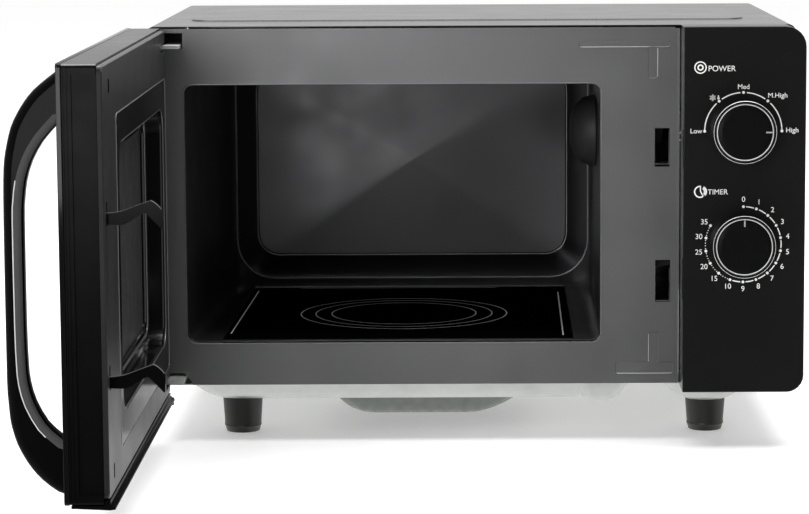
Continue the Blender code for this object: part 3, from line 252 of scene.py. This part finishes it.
# A darker finish for the inner panel's front-facing end strip: painted shade
STRIP_SHADE = moulded("panel_end_painted_shade", grey(0.010), 0.36, 500.0, 0.03).specular(0.20)
HOOK_PLASTIC = moulded("hook_plastic", grey(0.002), 0.13, 400.0, 0.01).specular(0.06)
# A lighter copy of the hooks' black plastic for their upper edges: a painted highlight
HOOK_EDGE_HIGHLIGHT = moulded("hook_upper_edge_painted_highlight", grey(0.10), 0.36, 400.0, 0.01)
HANDLE_PLASTIC = moulded("handle_plastic", grey(0.003), 0.10, 400.0, 0.01).specular(0.04)
# Lighter copies of the handle's plastic: a painted sheen on its inner wall and a painted highlight
# along its inner edge
HANDLE_WALL_SHEEN = moulded("handle_inner_wall_painted_sheen", grey(0.085), 0.22, 400.0, 0.01).specular(0.60)
HANDLE_HIGHLIGHT = moulded("handle_inner_edge_painted_highlight", grey(0.70), 0.20, 400.0, 0.01)
KNOB_PLASTIC = moulded("knob_plastic", grey(0.004), 0.18, 700.0, 0.03)
MATT_PLASTIC = moulded("matt_plastic", grey(0.008), 0.34)
FOOT_PLASTIC = moulded("foot_moulding", (0.023, 0.023, 0.021), 0.40, 500.0, 0.1)
WHITE_PLASTIC = moulded("white_moulding", (0.72, 0.71, 0.67), 0.45)
BOARD = moulded("circuit_board", (0.05, 0.19, 0.08), 0.40, 300.0, 0.3)
# Printing
# The zone print is real, and its faint glow is painted light
ZONE_PRINT_GLOW = moulded("zone_print_painted_glow", grey(0.80), 0.40, 900.0, 0.02).glow(0.055)
PRINT_WHITE = moulded("white_print", (0.80, 0.80, 0.78), 0.45, 900.0, 0.02)
PRINT_GREY = moulded("grey_print", grey(0.30), 0.45, 900.0, 0.02)

FINISHES = {
    CASE_PAINT: ["outer_case"],
    GREY_ENAMEL: ["front_plate"],
    COVER_SHADE: ["stirrer_motor_cover"],
    CAVITY_ENAMEL: ["cavity_liner"],
    DOME_ENAMEL: ["cavity_dome"],
    INNER_BLACK: ["door_inner_panel"],
    SCREEN: ["door_screen"],
    BORDER_BLACK: ["door_window_border"],
    ZINC: ["base_pan", "rear_panel", "stirrer_well", "stirrer_motor", "magnetron"],
    HINGE_STEEL: ["upper_hinge", "lower_hinge"],
    HOOK_PLASTIC: ["door_latch"],
    STEEL: ["power_shaft", "timer_shaft", "thermal_cutout_magnetron", "thermal_cutout_cavity",
            "latch_spring"],
    ALUMINIUM: ["waveguide", "mode_stirrer", "hv_capacitor"],
    PANEL_PLASTIC: ["control_panel"],
    KNOB_PLASTIC: ["power_knob", "timer_knob"],
    HANDLE_PLASTIC: ["handle"],
    FRAME_PLASTIC: ["door_frame", "door_bottom_trim"],
    MATT_PLASTIC: ["latch_board", "microswitch_upper", "microswitch_middle", "microswitch_lower",
                   "cord_inlet_grommet", "fan_shroud", "fan_blade", "hv_diode"],
    FOOT_PLASTIC: ["foot_front_left", "foot_front_right", "foot_rear_left", "foot_rear_right"],
    WHITE_PLASTIC: ["stirrer_shaft", "power_switch", "timer_unit", "lamp_socket"],
    CERAMIC: ["ceramic_floor_plate"],
    DOOR_GLASS: ["door_front_glass"],
    IRON: ["hv_transformer", "fan_motor"],
    BOARD: ["noise_filter_board"],
    BULB: ["oven_lamp"],
}
for finish, names in FINISHES.items():
    for name in names:
        NODES[name].data.materials.clear()
        NODES[name].data.materials.append(finish.material)


# ------------------------------------------------------------ shape helpers

CORNER_STEPS = 8
BEAD_SIDES = 8
RING_STEPS, RING_SIDES = 96, 10
# How far flat print stands off its surface, and the dots off the lines under them
LIFT, DOT_LIFT = 0.00005, 0.00007
FACING = {"front": Vector((0, -1, 0)), "top": Vector((0, 0, 1))}


def new_object(name, data):
    made = bpy.data.objects.new(name, data)
    bpy.context.scene.collection.objects.link(made)
    return made


def add(name, mesh, finish, body, location=(0, 0, 0), rotation=(0, 0, 0)):
    """Makes the mesh a piece that moves with a body of the frame."""
    made = new_object(name, mesh)
    made.location = location
    made.rotation_euler = rotation
    mesh.materials.clear()
    mesh.materials.append(finish.material)
    bpy.context.view_layer.update()
    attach(made, body)


def mesh_of(name, bm, recalculate=True, smooth=False):
    if recalculate:
        bmesh.ops.recalc_face_normals(bm, faces=bm.faces)
    mesh = bpy.data.meshes.new(name)
    bm.to_mesh(mesh)
    bm.free()
    if smooth:
        mesh.shade_smooth()
    return mesh


def skin(bm, loops, closed):
    """Joins each loop of vertices to the next with four-sided faces."""
    count, sides = len(loops), len(loops[0])
    for i in range(count if closed else count - 1):
        a, b = loops[i], loops[(i + 1) % count]
        for j in range(sides):
            k = (j + 1) % sides
            bm.faces.new((a[j], a[k], b[k], b[j]))


def directions(points, closed):
    """The line's direction at each point, from the point before it to the one after."""
    count = len(points)
    found = []
    for i, point in enumerate(points):
        before = points[(i - 1) % count] if closed or i else point
        after = points[(i + 1) % count] if closed or i < count - 1 else point
        found.append((Vector(after) - Vector(before)).normalized())
    return found


def ring(name, centre, radius, thickness, finish, body):
    """A round trim ring facing the front. The thickness is its section's radius."""
    bm = bmesh.new()
    loops = []
    for i in range(RING_STEPS):
        a = 2 * pi * i / RING_STEPS
        loop = []
        for j in range(RING_SIDES):
            b = 2 * pi * j / RING_SIDES
            r = radius + thickness * cos(b)
            loop.append(bm.verts.new((r * cos(a), thickness * sin(b), r * sin(a))))
        loops.append(loop)
    skin(bm, loops, True)
    add(name, mesh_of(name, bm, smooth=True), finish, body, centre)


def bead(name, points, radius, finish, body, closed=True, facing=(0, 1, 0)):
    """A thin round line through points, such as the shine on a rolled sheet edge."""
    bm = bmesh.new()
    turns = [2 * pi * j / BEAD_SIDES for j in range(BEAD_SIDES)]
    loops = []
    for point, along in zip(points, directions(points, closed)):
        side = along.cross(Vector(facing)).normalized()
        over = side.cross(along)
        loops.append([bm.verts.new(Vector(point) + radius * (side * cos(t) + over * sin(t)))
                      for t in turns])
    skin(bm, loops, closed)
    add(name, mesh_of(name, bm, smooth=True), finish, body)


def print_line(name, points, width, finish, body, closed=False, lift=LIFT, plane="front"):
    """A printed line through points on a plane, as a flat ribbon just off it."""
    bm = bmesh.new()
    count = len(points)
    face = FACING[plane]
    pairs = []
    for point, along in zip(points, directions(points, closed)):
        side = along.cross(face) * (width / 2)
        pairs.append([bm.verts.new(Vector(point) + side * s + face * lift) for s in (1, -1)])
    for i in range(count if closed else count - 1):
        a, b = pairs[i], pairs[(i + 1) % count]
        bm.faces.new((a[0], a[1], b[1], b[0]))
    add(name, mesh_of(name, bm), finish, body)


def outward(angle):
    """The direction from a dial's centre at an angle in degrees: 0 is right and 90 is up."""
    return Vector((cos(radians(angle)), 0, sin(radians(angle))))


def circle_points(centre, radius, start, end, steps, plane="front"):
    """Points of an arc between two angles in degrees: 0 is right and 90 is up, or to the rear."""
    points = []
    for i in range(steps + 1):
        a = radians(start + (end - start) * i / steps)
        across, up = radius * cos(a), radius * sin(a)
        points.append(centre + Vector((across, 0, up) if plane == "front" else (across, up, 0)))
    return points


def circle(centre, radius, steps, plane="front"):
    return circle_points(centre, radius, 0, 360, steps, plane)[:-1]


def rounded_loop(left, right, bottom, top, radius, y):
    """A rectangle with rounded corners, standing at depth y."""
    corners = ((right - radius, top - radius, 0), (left + radius, top - radius, 90),
               (left + radius, bottom + radius, 180), (right - radius, bottom + radius, 270))
    points = []
    for x, z, start in corners:
        for i in range(CORNER_STEPS + 1):
            a = radians(start + 90 * i / CORNER_STEPS)
            points.append(at(x + radius * cos(a), y, z + radius * sin(a)))
    return points


def door_loop(left, right, bottom, top, radius, depth):
    """A rounded rectangle on the open door, measured on the shut door."""
    shut = rounded_loop(left, right, bottom, top, radius, 0)
    return [at(depth + DOOR_SHIFT, -DOOR_TURN - (p.x + ORIGIN_X), p.z) for p in shut]


# --------------------------------------------------- edges of the CAD pieces

# Smooth shading stops at edges sharper than this many degrees, and rounding starts at this many
SMOOTH_LIMIT, ROUNDING_LIMIT = 31, 40
ROUNDING_SEGMENTS = 2
WELD_DISTANCE = 0.000002
# Faces whose normal has a Y at or below this look straight to the front, and stay flat
FRONT_FACING = -0.99
EDGE_WIDTHS = {
    "front_plate": 0.0004, "control_panel": 0.0005, "door_frame": 0.0004, "base_pan": 0.0004,
    "door_latch": 0.0004, "stirrer_motor_cover": 0.0004, "door_window_border": 0.0004,
    "outer_case": 0.0003, "door_front_glass": 0.0003, "door_bottom_trim": 0.0003,
    "upper_hinge": 0.0003, "lower_hinge": 0.0003,
}
PLAIN_SHADED = ["cavity_liner"]


def smooth_group():
    """Joins the loaded triangles and shades them smooth, except over sharp edges."""
    group = bpy.data.node_groups.new("smooth_by_angle", "GeometryNodeTree")
    for way in ("INPUT", "OUTPUT"):
        group.interface.new_socket("Geometry", in_out=way, socket_type="NodeSocketGeometry")
    add_node = group.nodes.new
    start, end = add_node("NodeGroupInput"), add_node("NodeGroupOutput")
    weld = add_node("GeometryNodeMergeByDistance")
    weld.inputs["Distance"].default_value = WELD_DISTANCE
    drop = add_node("GeometryNodeRemoveAttribute")
    drop.inputs["Name"].default_value = "custom_normal"
    soft = add_node("GeometryNodeSetShadeSmooth")
    hard = add_node("GeometryNodeSetShadeSmooth")
    hard.domain = "EDGE"
    hard.inputs["Shade Smooth"].default_value = False
    angle = add_node("GeometryNodeInputMeshEdgeAngle")
    steep = add_node("FunctionNodeCompare")
    steep.operation = "GREATER_THAN"
    steep.inputs[1].default_value = radians(SMOOTH_LIMIT)
    facing = add_node("GeometryNodeInputNormal")
    sides = add_node("ShaderNodeSeparateXYZ")
    curved = add_node("FunctionNodeCompare")
    curved.operation = "GREATER_THAN"
    curved.inputs[1].default_value = FRONT_FACING
    link = group.links.new
    link(facing.outputs["Normal"], sides.inputs["Vector"])
    link(sides.outputs["Y"], curved.inputs[0])
    link(curved.outputs["Result"], soft.inputs["Shade Smooth"])
    link(start.outputs[0], weld.inputs["Geometry"])
    link(weld.outputs["Geometry"], drop.inputs["Geometry"])
    link(drop.outputs["Geometry"], soft.inputs["Geometry"])
    link(soft.outputs["Geometry"], hard.inputs["Geometry"])
    link(angle.outputs["Unsigned Angle"], steep.inputs[0])
    link(steep.outputs["Result"], hard.inputs["Selection"])
    link(hard.outputs["Geometry"], end.inputs[0])
    return group


def soften_edges():
    """Smooth curved faces, and small rounded edges where pieces catch the light."""
    group = smooth_group()
    for name, node in NODES.items():
        smooth = node.modifiers.new("smooth", "NODES")
        smooth.node_group = group
        if name in EDGE_WIDTHS:
            soft = node.modifiers.new("soft", "BEVEL")
            soft.width = EDGE_WIDTHS[name]
            soft.segments = ROUNDING_SEGMENTS
            soft.limit_method = "ANGLE"
            soft.angle_limit = radians(ROUNDING_LIMIT)
            soft.harden_normals = True
        elif name not in PLAIN_SHADED:
            flat = node.modifiers.new("flat", "WEIGHTED_NORMAL")
            flat.keep_sharp = True


# ------------------------------------------ second finishes on the CAD pieces

HANDLE_BEAD = 0.00035


def split_inner_panel():
    """Satin, with gloss black inside the window's recess, and painted shade on the strip at the
    free end: a darker finish where it faces the front.
    """
    mesh = NODES["door_inner_panel"].data
    mesh.materials.append(WINDOW_BLACK.material)
    mesh.materials.append(STRIP_SHADE.material)
    border_low, border_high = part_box("door_window_border")
    recess_y, recess_z, recess_depth = 0.010, 0.015, 0.0016
    facing_out = -0.6
    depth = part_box("door_inner_panel")[1][0] - recess_depth
    for face in mesh.polygons:
        middle = face.center
        if face.normal.y < facing_out and middle.y < border_low.y:
            face.material_index = 2
        across = border_low.y + recess_y < middle.y < border_high.y - recess_y
        upright = border_low.z + recess_z < middle.z < border_high.z - recess_z
        if across and upright and middle.x < depth:
            face.material_index = 1


def shade_handle():
    """Painted sheen on the handle's inner wall, a lighter copy of its plastic, and a bead in a
    painted highlight along its rounded inner edge.
    """
    handle = NODES["handle"].data
    handle.materials.append(HANDLE_WALL_SHEEN.material)
    hole = at(-0.2300, 0, 0.1650)
    edge_bottom, edge_top = 0.0680, 0.2300
    straight_on, sideways = -0.98, -0.30
    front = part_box("handle")[0].y + 0.00003
    corners = set()
    for face in handle.polygons:
        inward = (hole - face.center) * face.normal
        if inward.x + inward.z <= 0:
            continue
        if straight_on < face.normal.y < sideways:
            face.material_index = 1
        for i in face.vertices:
            spot = handle.vertices[i].co
            upright = spot.y < front and edge_bottom < spot.z < edge_top
            if face.normal.y > straight_on and upright:
                corners.add((round(spot.z, 5), round(spot.x, 5)))
    line = [(x, front - 0.00002, z) for z, x in sorted(corners)]
    bead("handle_painted_highlight_line", line, HANDLE_BEAD, HANDLE_HIGHLIGHT, "door", False)


def shade_upper_faces():
    """Painted highlights on the hooks' upper edges and the top of the door: lighter copies of their
    plastic where light from above falls.
    """
    door_top, facing_up = 0.29, 0.5
    for name, finish, lowest in (("door_latch", HOOK_EDGE_HIGHLIGHT, 0), ("door_frame", FRAME_TOP_HIGHLIGHT, door_top)):
        mesh = NODES[name].data
        mesh.materials.append(finish.material)
        for face in mesh.polygons:
            if face.normal.z > facing_up and face.center.z > lowest:
                face.material_index = 1


def shade_ribs():
    """Painted light and shade on the sides of the plate's two T shapes: dark where they face up or
    left, light elsewhere.
    """
    mesh = NODES["front_plate"].data
    mesh.materials.append(RIB_HIGHLIGHT.material)
    mesh.materials.append(RIB_SHADE.material)
    plate_y, straight_on, leaning = at(0, -0.0001, 0).y, -0.97, 0.2
    for face in mesh.polygons:
        if face.center.y > plate_y or face.normal.y < straight_on:
            continue
        dark = face.normal.z > leaning or face.normal.x < -leaning
        face.material_index = 2 if dark else 1


# ------------------------------------------------------- bends as beads, with painted highlights

# The beads' radii
MOUTH_BEAD, RIGHT_BEND_BEAD, BACK_BEAD, SLOT_BEAD = 0.00045, 0.0007, 0.0006, 0.00025
# Rounded rectangles: left, right, bottom, top, corner radius, depth
MOUTH = (-0.2018, 0.0913, 0.0707, 0.2544, 0.0070, 0.0003)
BACK_BENDS = {
    "back_outer_bend": (-0.1862, 0.0928, 0.0794, 0.2637, 0.0298, 0.2796),
    "back_inner_bend": (-0.1694, 0.0759, 0.0987, 0.2450, 0.0170, 0.2737),
}
# The same on the shut door, with the bead's radius
WINDOW_EDGES = (
    ("window_outer_edge", -0.2186, 0.0796, 0.0564, 0.2596, 0.0046, -0.0011, 0.00040),
    ("window_inner_edge", -0.2047, 0.0657, 0.0753, 0.2407, 0.0168, -0.0016, 0.00045),
    ("window_outer_ridge", -0.1965, 0.0575, 0.0835, 0.2325, 0.0100, -0.0135, 0.00035),
    ("window_inner_ridge", -0.1952, 0.0562, 0.0848, 0.2312, 0.0090, -0.0135, 0.00035),
)
# Latch slots: bottom, top, left, right
SLOTS = ((0.1972, 0.2205, 0.1294, 0.1389), (0.1002, 0.1235, 0.1301, 0.1397))
SLOT_DEPTH = 0.0001
# The pressed lines are beads in the light rib finish, a painted highlight
# Straight lines: x and z of each end, depth, bead's radius
PRESSED_LINES = (
    ("upper_rib_side", 0.1307, 0.2590, 0.1307, 0.2785, -0.0003, 0.00040),
    ("upper_rib_low", 0.0775, 0.2797, 0.1235, 0.2797, -0.0003, 0.00022),
    ("lower_rib_side", 0.1250, 0.0568, 0.1250, 0.0765, -0.0003, 0.00022),
    ("lower_rib_low", 0.1030, 0.0484, 0.1410, 0.0484, -0.0003, 0.00022),
    ("flange_bend", 0.1460, 0.0480, 0.1460, 0.1080, 0.0006, 0.00035),
)


def bend_lines():
    """Beads on the rolled and pressed edges of the front plate, in the oven and on the door. Those
    on the bends, the pressed lines and the window's edges are lighter: painted highlights.
    """
    mouth = rounded_loop(*MOUTH)
    right_side = mouth[-2:] + mouth[:3]
    bead("mouth_rim", mouth, MOUTH_BEAD, RIM_ENAMEL, "oven")
    bead("mouth_right_bend", right_side, RIGHT_BEND_BEAD, BEND_HIGHLIGHT, "oven", False)
    for name, size in BACK_BENDS.items():
        bead(name, rounded_loop(*size), BACK_BEAD, BEND_HIGHLIGHT, "oven")
    for bottom, top, left, right in SLOTS:
        corners = ((right, top), (right, bottom), (left, bottom))
        slot = [at(x, SLOT_DEPTH, z) for x, z in corners]
        bead(f"slot_edge_{bottom}", slot, SLOT_BEAD, RIM_ENAMEL, "oven", False)
    for name, x0, z0, x1, z1, y, radius in PRESSED_LINES:
        bead(name, [at(x0, y, z0), at(x1, y, z1)], radius, RIB_HIGHLIGHT, "oven", False)
    for name, *size, radius in WINDOW_EDGES:
        bead(name, door_loop(*size), radius, EDGE_HIGHLIGHT, "door", True, (1, 0, 0))


# ----------------------------------------------------------- panel printing

LINE_WIDTH, TEXT_THICKNESS = 0.0008, 0.00004
DOT_RADIUS, TICK_RADIUS = 0.0010, 0.00038
# Each printed scale stands a little off its knob's centre. Angles are in degrees
POWER_CENTRE = at(DIAL_X - 0.0002, PANEL_FACE_Y, POWER_Z - 0.0002)
POWER_RADIUS, POWER_STOPS, POWER_GAP = 0.0267, (180, 129, 90, 51, 0), 5
POWER_TEXT = 0.0048
# Text, and its step to the right of the scale's centre and up
POWER_LABELS = (("Low", -0.0326, 0.0000), ("Med", 0.0000, 0.0305),
                ("M.High", 0.0236, 0.0245), ("High", 0.0338, 0.0004))
FLAKE, FLAKE_ARM, BUD_REACH = (-0.0213, 0.0232), 0.0023, 0.6
DROP, DROP_TIP = (-0.0173, 0.0228), 0.0019

TIMER_CENTRE = at(DIAL_X + 0.0003, PANEL_FACE_Y, TIMER_Z + 0.0003)
TIMER_RADIUS, TIMER_LABEL_RADIUS, TIMER_TEXT = 0.0263, 0.0313, 0.0052
TIMER_START, TIMER_STEP, TIMER_GAP = 90, 20, 4
# One label a minute up to 10, then one every five, with four ticks between two labels
TIMER_LABELS = (*range(11), 15, 20, 25, 30, 35)
TIMER_ARCS, TICKS_PER_LABEL = 10, 5

# Trim rings: name, radius, the section's radius
KNOB_RINGS = (("outer", 0.0210, 0.0007), ("inner", 0.0193, 0.0004))
TRIM_DEPTH = 0.0009
MARK_INNER, MARK_OUTER, MARK_WIDTH, MARK_LIFT = 0.0142, 0.0187, 0.0010, 0.0006
# The angle of each knob's mark at rest, where the power knob is at High and the timer's at 0
KNOBS = (("power", POWER_Z, 0), ("timer", TIMER_Z, 90))

POWER_ICON = at(0.1582, PANEL_FACE_Y, 0.2672)
TIMER_ICON = at(0.1584, PANEL_FACE_Y, 0.1811)
POWER_WORD = at(0.1634, PANEL_FACE_Y - LIFT, 0.2663)
TIMER_WORD = at(0.1636, PANEL_FACE_Y - LIFT, 0.1808)


def panel_line(name, points, width=LINE_WIDTH, closed=False):
    print_line(name, points, width, PRINT_WHITE, "oven", closed)


def panel_dot(name, centre, radius=DOT_RADIUS, steps=20, lift=LIFT):
    bm = bmesh.new()
    turns = [2 * pi * i / steps for i in range(steps)]
    bm.faces.new([bm.verts.new((radius * cos(a), -lift, radius * sin(a))) for a in turns])
    add(name, mesh_of(name, bm, recalculate=False), PRINT_WHITE, "oven", centre)


def panel_text(name, text, size, centre, align="CENTER"):
    """Flat raised text, made into a mesh."""
    curve = bpy.data.curves.new(name, "FONT")
    curve.body = text
    curve.size = size
    curve.extrude = TEXT_THICKNESS
    curve.align_x = align
    curve.align_y = "CENTER"
    drawn = new_object(name + "_line", curve)
    bpy.context.view_layer.update()
    evaluated = drawn.evaluated_get(bpy.context.evaluated_depsgraph_get())
    mesh = bpy.data.meshes.new_from_object(evaluated)
    bpy.data.objects.remove(drawn)
    add(name, mesh, PRINT_WHITE, "oven", centre, (pi / 2, 0, 0))


def power_scale():
    """Arcs between the five stops, with a label at four of them and the defrost symbol at one."""
    for i, (start, end) in enumerate(zip(POWER_STOPS, POWER_STOPS[1:])):
        first, last = (POWER_GAP if stop in POWER_STOPS[1:-1] else 0 for stop in (start, end))
        line = circle_points(POWER_CENTRE, POWER_RADIUS, start - first, end + last, 20)
        panel_line(f"power_arc_{i}", line)
    for i, angle in enumerate(POWER_STOPS):
        panel_dot(f"power_dot_{i}", POWER_CENTRE + outward(angle) * POWER_RADIUS, lift=DOT_LIFT)
    for text, right, up in POWER_LABELS:
        spot = POWER_CENTRE + Vector((right, -LIFT, up))
        panel_text(f"power_label_{text.replace('.', '_')}", text, POWER_TEXT, spot)
    flake = POWER_CENTRE + Vector((FLAKE[0], 0, FLAKE[1]))
    for i in range(3):
        arm = outward(90 + 60 * i) * FLAKE_ARM
        panel_line(f"defrost_arm_{i}", [flake - arm, flake + arm], 0.0007)
        for side in (-1, 1):
            panel_dot(f"defrost_bud_{i}_{side}", flake + arm * (BUD_REACH * side), 0.0007, 8)
    drop = POWER_CENTRE + Vector((DROP[0], 0, DROP[1]))
    panel_dot("defrost_drop", drop, 0.0009, 12)
    panel_line("defrost_drop_tip", [drop, drop + Vector((0, 0, DROP_TIP))])


def timer_scale():
    """Arcs between the labels up to 10 minutes, and ticks between the later ones."""
    for i in range(TIMER_ARCS):
        start = TIMER_START - TIMER_STEP * i
        line = circle_points(TIMER_CENTRE, TIMER_RADIUS, start - TIMER_GAP,
                             start - TIMER_STEP + TIMER_GAP, 8)
        panel_line(f"timer_arc_{i}", line)
    for i, label in enumerate(TIMER_LABELS):
        out = outward(TIMER_START - TIMER_STEP * i)
        panel_dot(f"timer_dot_{i}", TIMER_CENTRE + out * TIMER_RADIUS, lift=DOT_LIFT)
        spot = TIMER_CENTRE + out * TIMER_LABEL_RADIUS + Vector((0, -LIFT, 0))
        panel_text(f"timer_label_{label}", str(label), TIMER_TEXT, spot)
    first_tick = TIMER_START - TIMER_STEP * TIMER_ARCS
    for i in range((len(TIMER_LABELS) - 1 - TIMER_ARCS) * TICKS_PER_LABEL):
        if i % TICKS_PER_LABEL == 0:
            continue
        out = outward(first_tick - TIMER_STEP // TICKS_PER_LABEL * i)
        panel_dot(f"timer_tick_{i}", TIMER_CENTRE + out * TIMER_RADIUS, TICK_RADIUS, 8)


def icons():
    """The small round symbols and the words beside them."""
    panel_line("power_icon_ring", circle(POWER_ICON, 0.0039, 40), closed=True)
    panel_line("power_icon_inner", circle(POWER_ICON, 0.0017, 24), 0.0010, True)
    panel_text("power_word", "POWER", 0.0055, POWER_WORD, "LEFT")
    panel_line("timer_icon_ring", circle_points(TIMER_ICON, 0.0038, 82, 300, 40), 0.0009)
    hand = ((0.0002, 0.0038), (0.0002, 0.0004), (0.0022, -0.0032))
    panel_line("timer_icon_hand", [TIMER_ICON + Vector((x, 0, z)) for x, z in hand])
    hub = TIMER_ICON + Vector((0.0005, 0, 0))
    for i, (reach, width) in enumerate(((0.0038, 0.0010), (0.0031, 0.0010), (0.0024, 0.0006))):
        panel_line(f"timer_icon_wedge_{i}", circle_points(hub, reach, 62, -42, 16), width)
    panel_text("timer_word", "TIMER", 0.0051, TIMER_WORD, "LEFT")


def knob_trim():
    """Two rings and a mark on each knob."""
    for name, z, rest_angle in KNOBS:
        centre = at(DIAL_X, KNOB_FACE_Y + TRIM_DEPTH, z)
        body = f"{name}_dial"
        for which, radius, thickness in KNOB_RINGS:
            ring(f"{name}_knob_{which}_ring", centre, radius, thickness, CHROME, body)
        out = outward(rest_angle)
        print_line(f"{name}_knob_mark", [centre + out * MARK_INNER, centre + out * MARK_OUTER],
                   MARK_WIDTH, PRINT_GREY, body, lift=MARK_LIFT)


# ------------------------------------------------------------ floor printing

FLOOR_TOP = 0.0727
ZONE_CENTRE, ZONE_RADII = at(-0.0508, 0.1300, FLOOR_TOP), (0.077, 0.066, 0.054)
# Straight lines: x and y of each end, width
FLOOR_LINES = (
    ("floor_line_left", -0.1732, 0.0334, -0.1678, 0.2519, 0.0010),
    ("floor_line_right", 0.0652, 0.0204, 0.0678, 0.2390, 0.0010),
    ("floor_line_back", -0.1360, 0.2660, 0.0200, 0.2660, 0.0008),
)


def ceramic_print():
    for i, radius in enumerate(ZONE_RADII):
        print_line(f"zone_ring_{i}", circle(ZONE_CENTRE, radius, 120, "top"), LINE_WIDTH,
                   ZONE_PRINT_GLOW, "oven", True, plane="top")
    for name, x0, y0, x1, y1, width in FLOOR_LINES:
        print_line(name, [at(x0, y0, FLOOR_TOP), at(x1, y1, FLOOR_TOP)], width,
                   ZONE_PRINT_GLOW, "oven", plane="top")


soften_edges()
split_inner_panel()
shade_handle()
shade_upper_faces()
shade_ribs()
bend_lines()
power_scale()
timer_scale()
icons()
knob_trim()
ceramic_print()


# ---------------------------------------------------------- stage and camera

FLOOR_REACH, FLOOR_GLOW = 40.0, 0.30
# The studio is dark in front, where the camera stands, dim round the horizon and bright above and
# below. A faint glow from below stands for the table
DARK_SIDE, HORIZON, BRIGHT, TABLE_GLOW = 0.04, 0.66, 1.0, 0.15
# Where each of those fades in, as a part of the view's direction to the rear or upwards
REAR_FADE, HEIGHT_FADE, TABLE_FADE = (-0.80, -0.15), (0.15, 0.70), (-0.50, -0.20)
# Area lights: place, point aimed at, width, height, watts
LIGHTS = {
    "overhead": ((0, 0.3, 2.4), (0, 0.1, 0), 2.6, 2.2, 95),
    "left_strip": ((-1.05, -2.3, 0.90), (0, 0, 0.15), 0.45, 1.5, 18),
    "low_left": ((-0.40, -1.97, 0.16), (-0.05, 0.28, 0.18), 0.40, 0.26, 2.5),
    "right_fill": ((1.9, -1.9, 0.8), (0, 0, 0.15), 0.6, 1.4, 1.5),
}
LENS, SENSOR_WIDTH, SHIFT_X = 135.9, 36, -0.0790
CLIP_START, CLIP_END = 0.05, 60
CAMERA_PLACE = at(-0.0023, -2.1370, 0.4102)
# In radians: pitch is downwards, and a negative roll turns the camera clockwise
CAMERA_PITCH, CAMERA_ROLL = 0.1295, -0.0043


def stage():
    """A plain pale floor, clear from below so that the underside can be looked at."""
    finish = Surface("studio_floor", (0.86, 0.86, 0.86), 0.55).glow(FLOOR_GLOW)
    finish.tint(finish.noise(3.0, 3.0), 0.995, 1.005)
    side = finish.node("ShaderNodeNewGeometry")
    clear = finish.node("ShaderNodeBsdfTransparent")
    mix = finish.node("ShaderNodeMixShader")
    finish.link(side.outputs["Backfacing"], mix.inputs[0])
    finish.link(finish.shader.outputs["BSDF"], mix.inputs[1])
    finish.link(clear.outputs["BSDF"], mix.inputs[2])
    finish.link(mix.outputs["Shader"], finish.tree.nodes["Material Output"].inputs["Surface"])
    bm = bmesh.new()
    corners = ((-1, -1), (1, -1), (1, 1), (-1, 1))
    bm.faces.new([bm.verts.new((FLOOR_REACH * x, FLOOR_REACH * y, 0)) for x, y in corners])
    mesh = mesh_of("studio_floor", bm, recalculate=False)
    mesh.materials.append(finish.material)
    floor = new_object("studio_floor", mesh)
    floor.visible_glossy = False


def surroundings():
    """The light from all round. The camera itself sees plain white."""
    world = bpy.data.worlds.new("studio")
    bpy.context.scene.world = world
    world.use_nodes = True
    tree = world.node_tree
    back = tree.nodes["Background"]
    back.inputs["Color"].default_value = WHITE_LIGHT
    place = tree.nodes.new("ShaderNodeTexCoord")
    parts = tree.nodes.new("ShaderNodeSeparateXYZ")
    tree.links.new(place.outputs["Generated"], parts.inputs["Vector"])
    rear = map_range(tree, parts.outputs["Y"], *REAR_FADE, DARK_SIDE, 1.0, "SMOOTHSTEP")
    height = maths(tree, "ABSOLUTE", parts.outputs["Z"])
    level = map_range(tree, height, *HEIGHT_FADE, HORIZON, BRIGHT, "SMOOTHSTEP")
    around = maths(tree, "MULTIPLY", rear, level)
    below = map_range(tree, parts.outputs["Z"], *TABLE_FADE, TABLE_GLOW, 0.0, "SMOOTHSTEP")
    lit = maths(tree, "MAXIMUM", around, below)
    seen = tree.nodes.new("ShaderNodeLightPath").outputs["Is Camera Ray"]
    tree.links.new(maths(tree, "MAXIMUM", lit, seen), back.inputs["Strength"])


def lights():
    for name, (place, target, width, height, watts) in LIGHTS.items():
        light = bpy.data.lights.new(name, "AREA")
        light.energy = watts
        light.shape = "RECTANGLE"
        light.size = width
        light.size_y = height
        made = new_object(name, light)
        made.visible_camera = False
        made.location = place
        aim = Vector(target) - Vector(place)
        made.rotation_euler = aim.to_track_quat("-Z", "Y").to_euler()


def camera():
    data = bpy.data.cameras.new("camera")
    data.lens = LENS
    data.sensor_width = SENSOR_WIDTH
    data.sensor_fit = "HORIZONTAL"
    data.shift_x = SHIFT_X
    data.clip_start = CLIP_START
    data.clip_end = CLIP_END
    made = new_object("camera", data)
    forward = Vector((0, cos(CAMERA_PITCH), -sin(CAMERA_PITCH)))
    level_right = Vector((1, 0, 0))
    level_up = Vector((0, sin(CAMERA_PITCH), cos(CAMERA_PITCH)))
    right = level_right * cos(CAMERA_ROLL) + level_up * sin(CAMERA_ROLL)
    up = level_up * cos(CAMERA_ROLL) - level_right * sin(CAMERA_ROLL)
    turn = Matrix((right, up, -forward)).transposed().to_4x4()
    made.matrix_world = Matrix.Translation(CAMERA_PLACE) @ turn
    bpy.context.scene.camera = made


stage()
surroundings()
lights()
camera()
bpy.context.scene.view_settings.view_transform = "Standard"
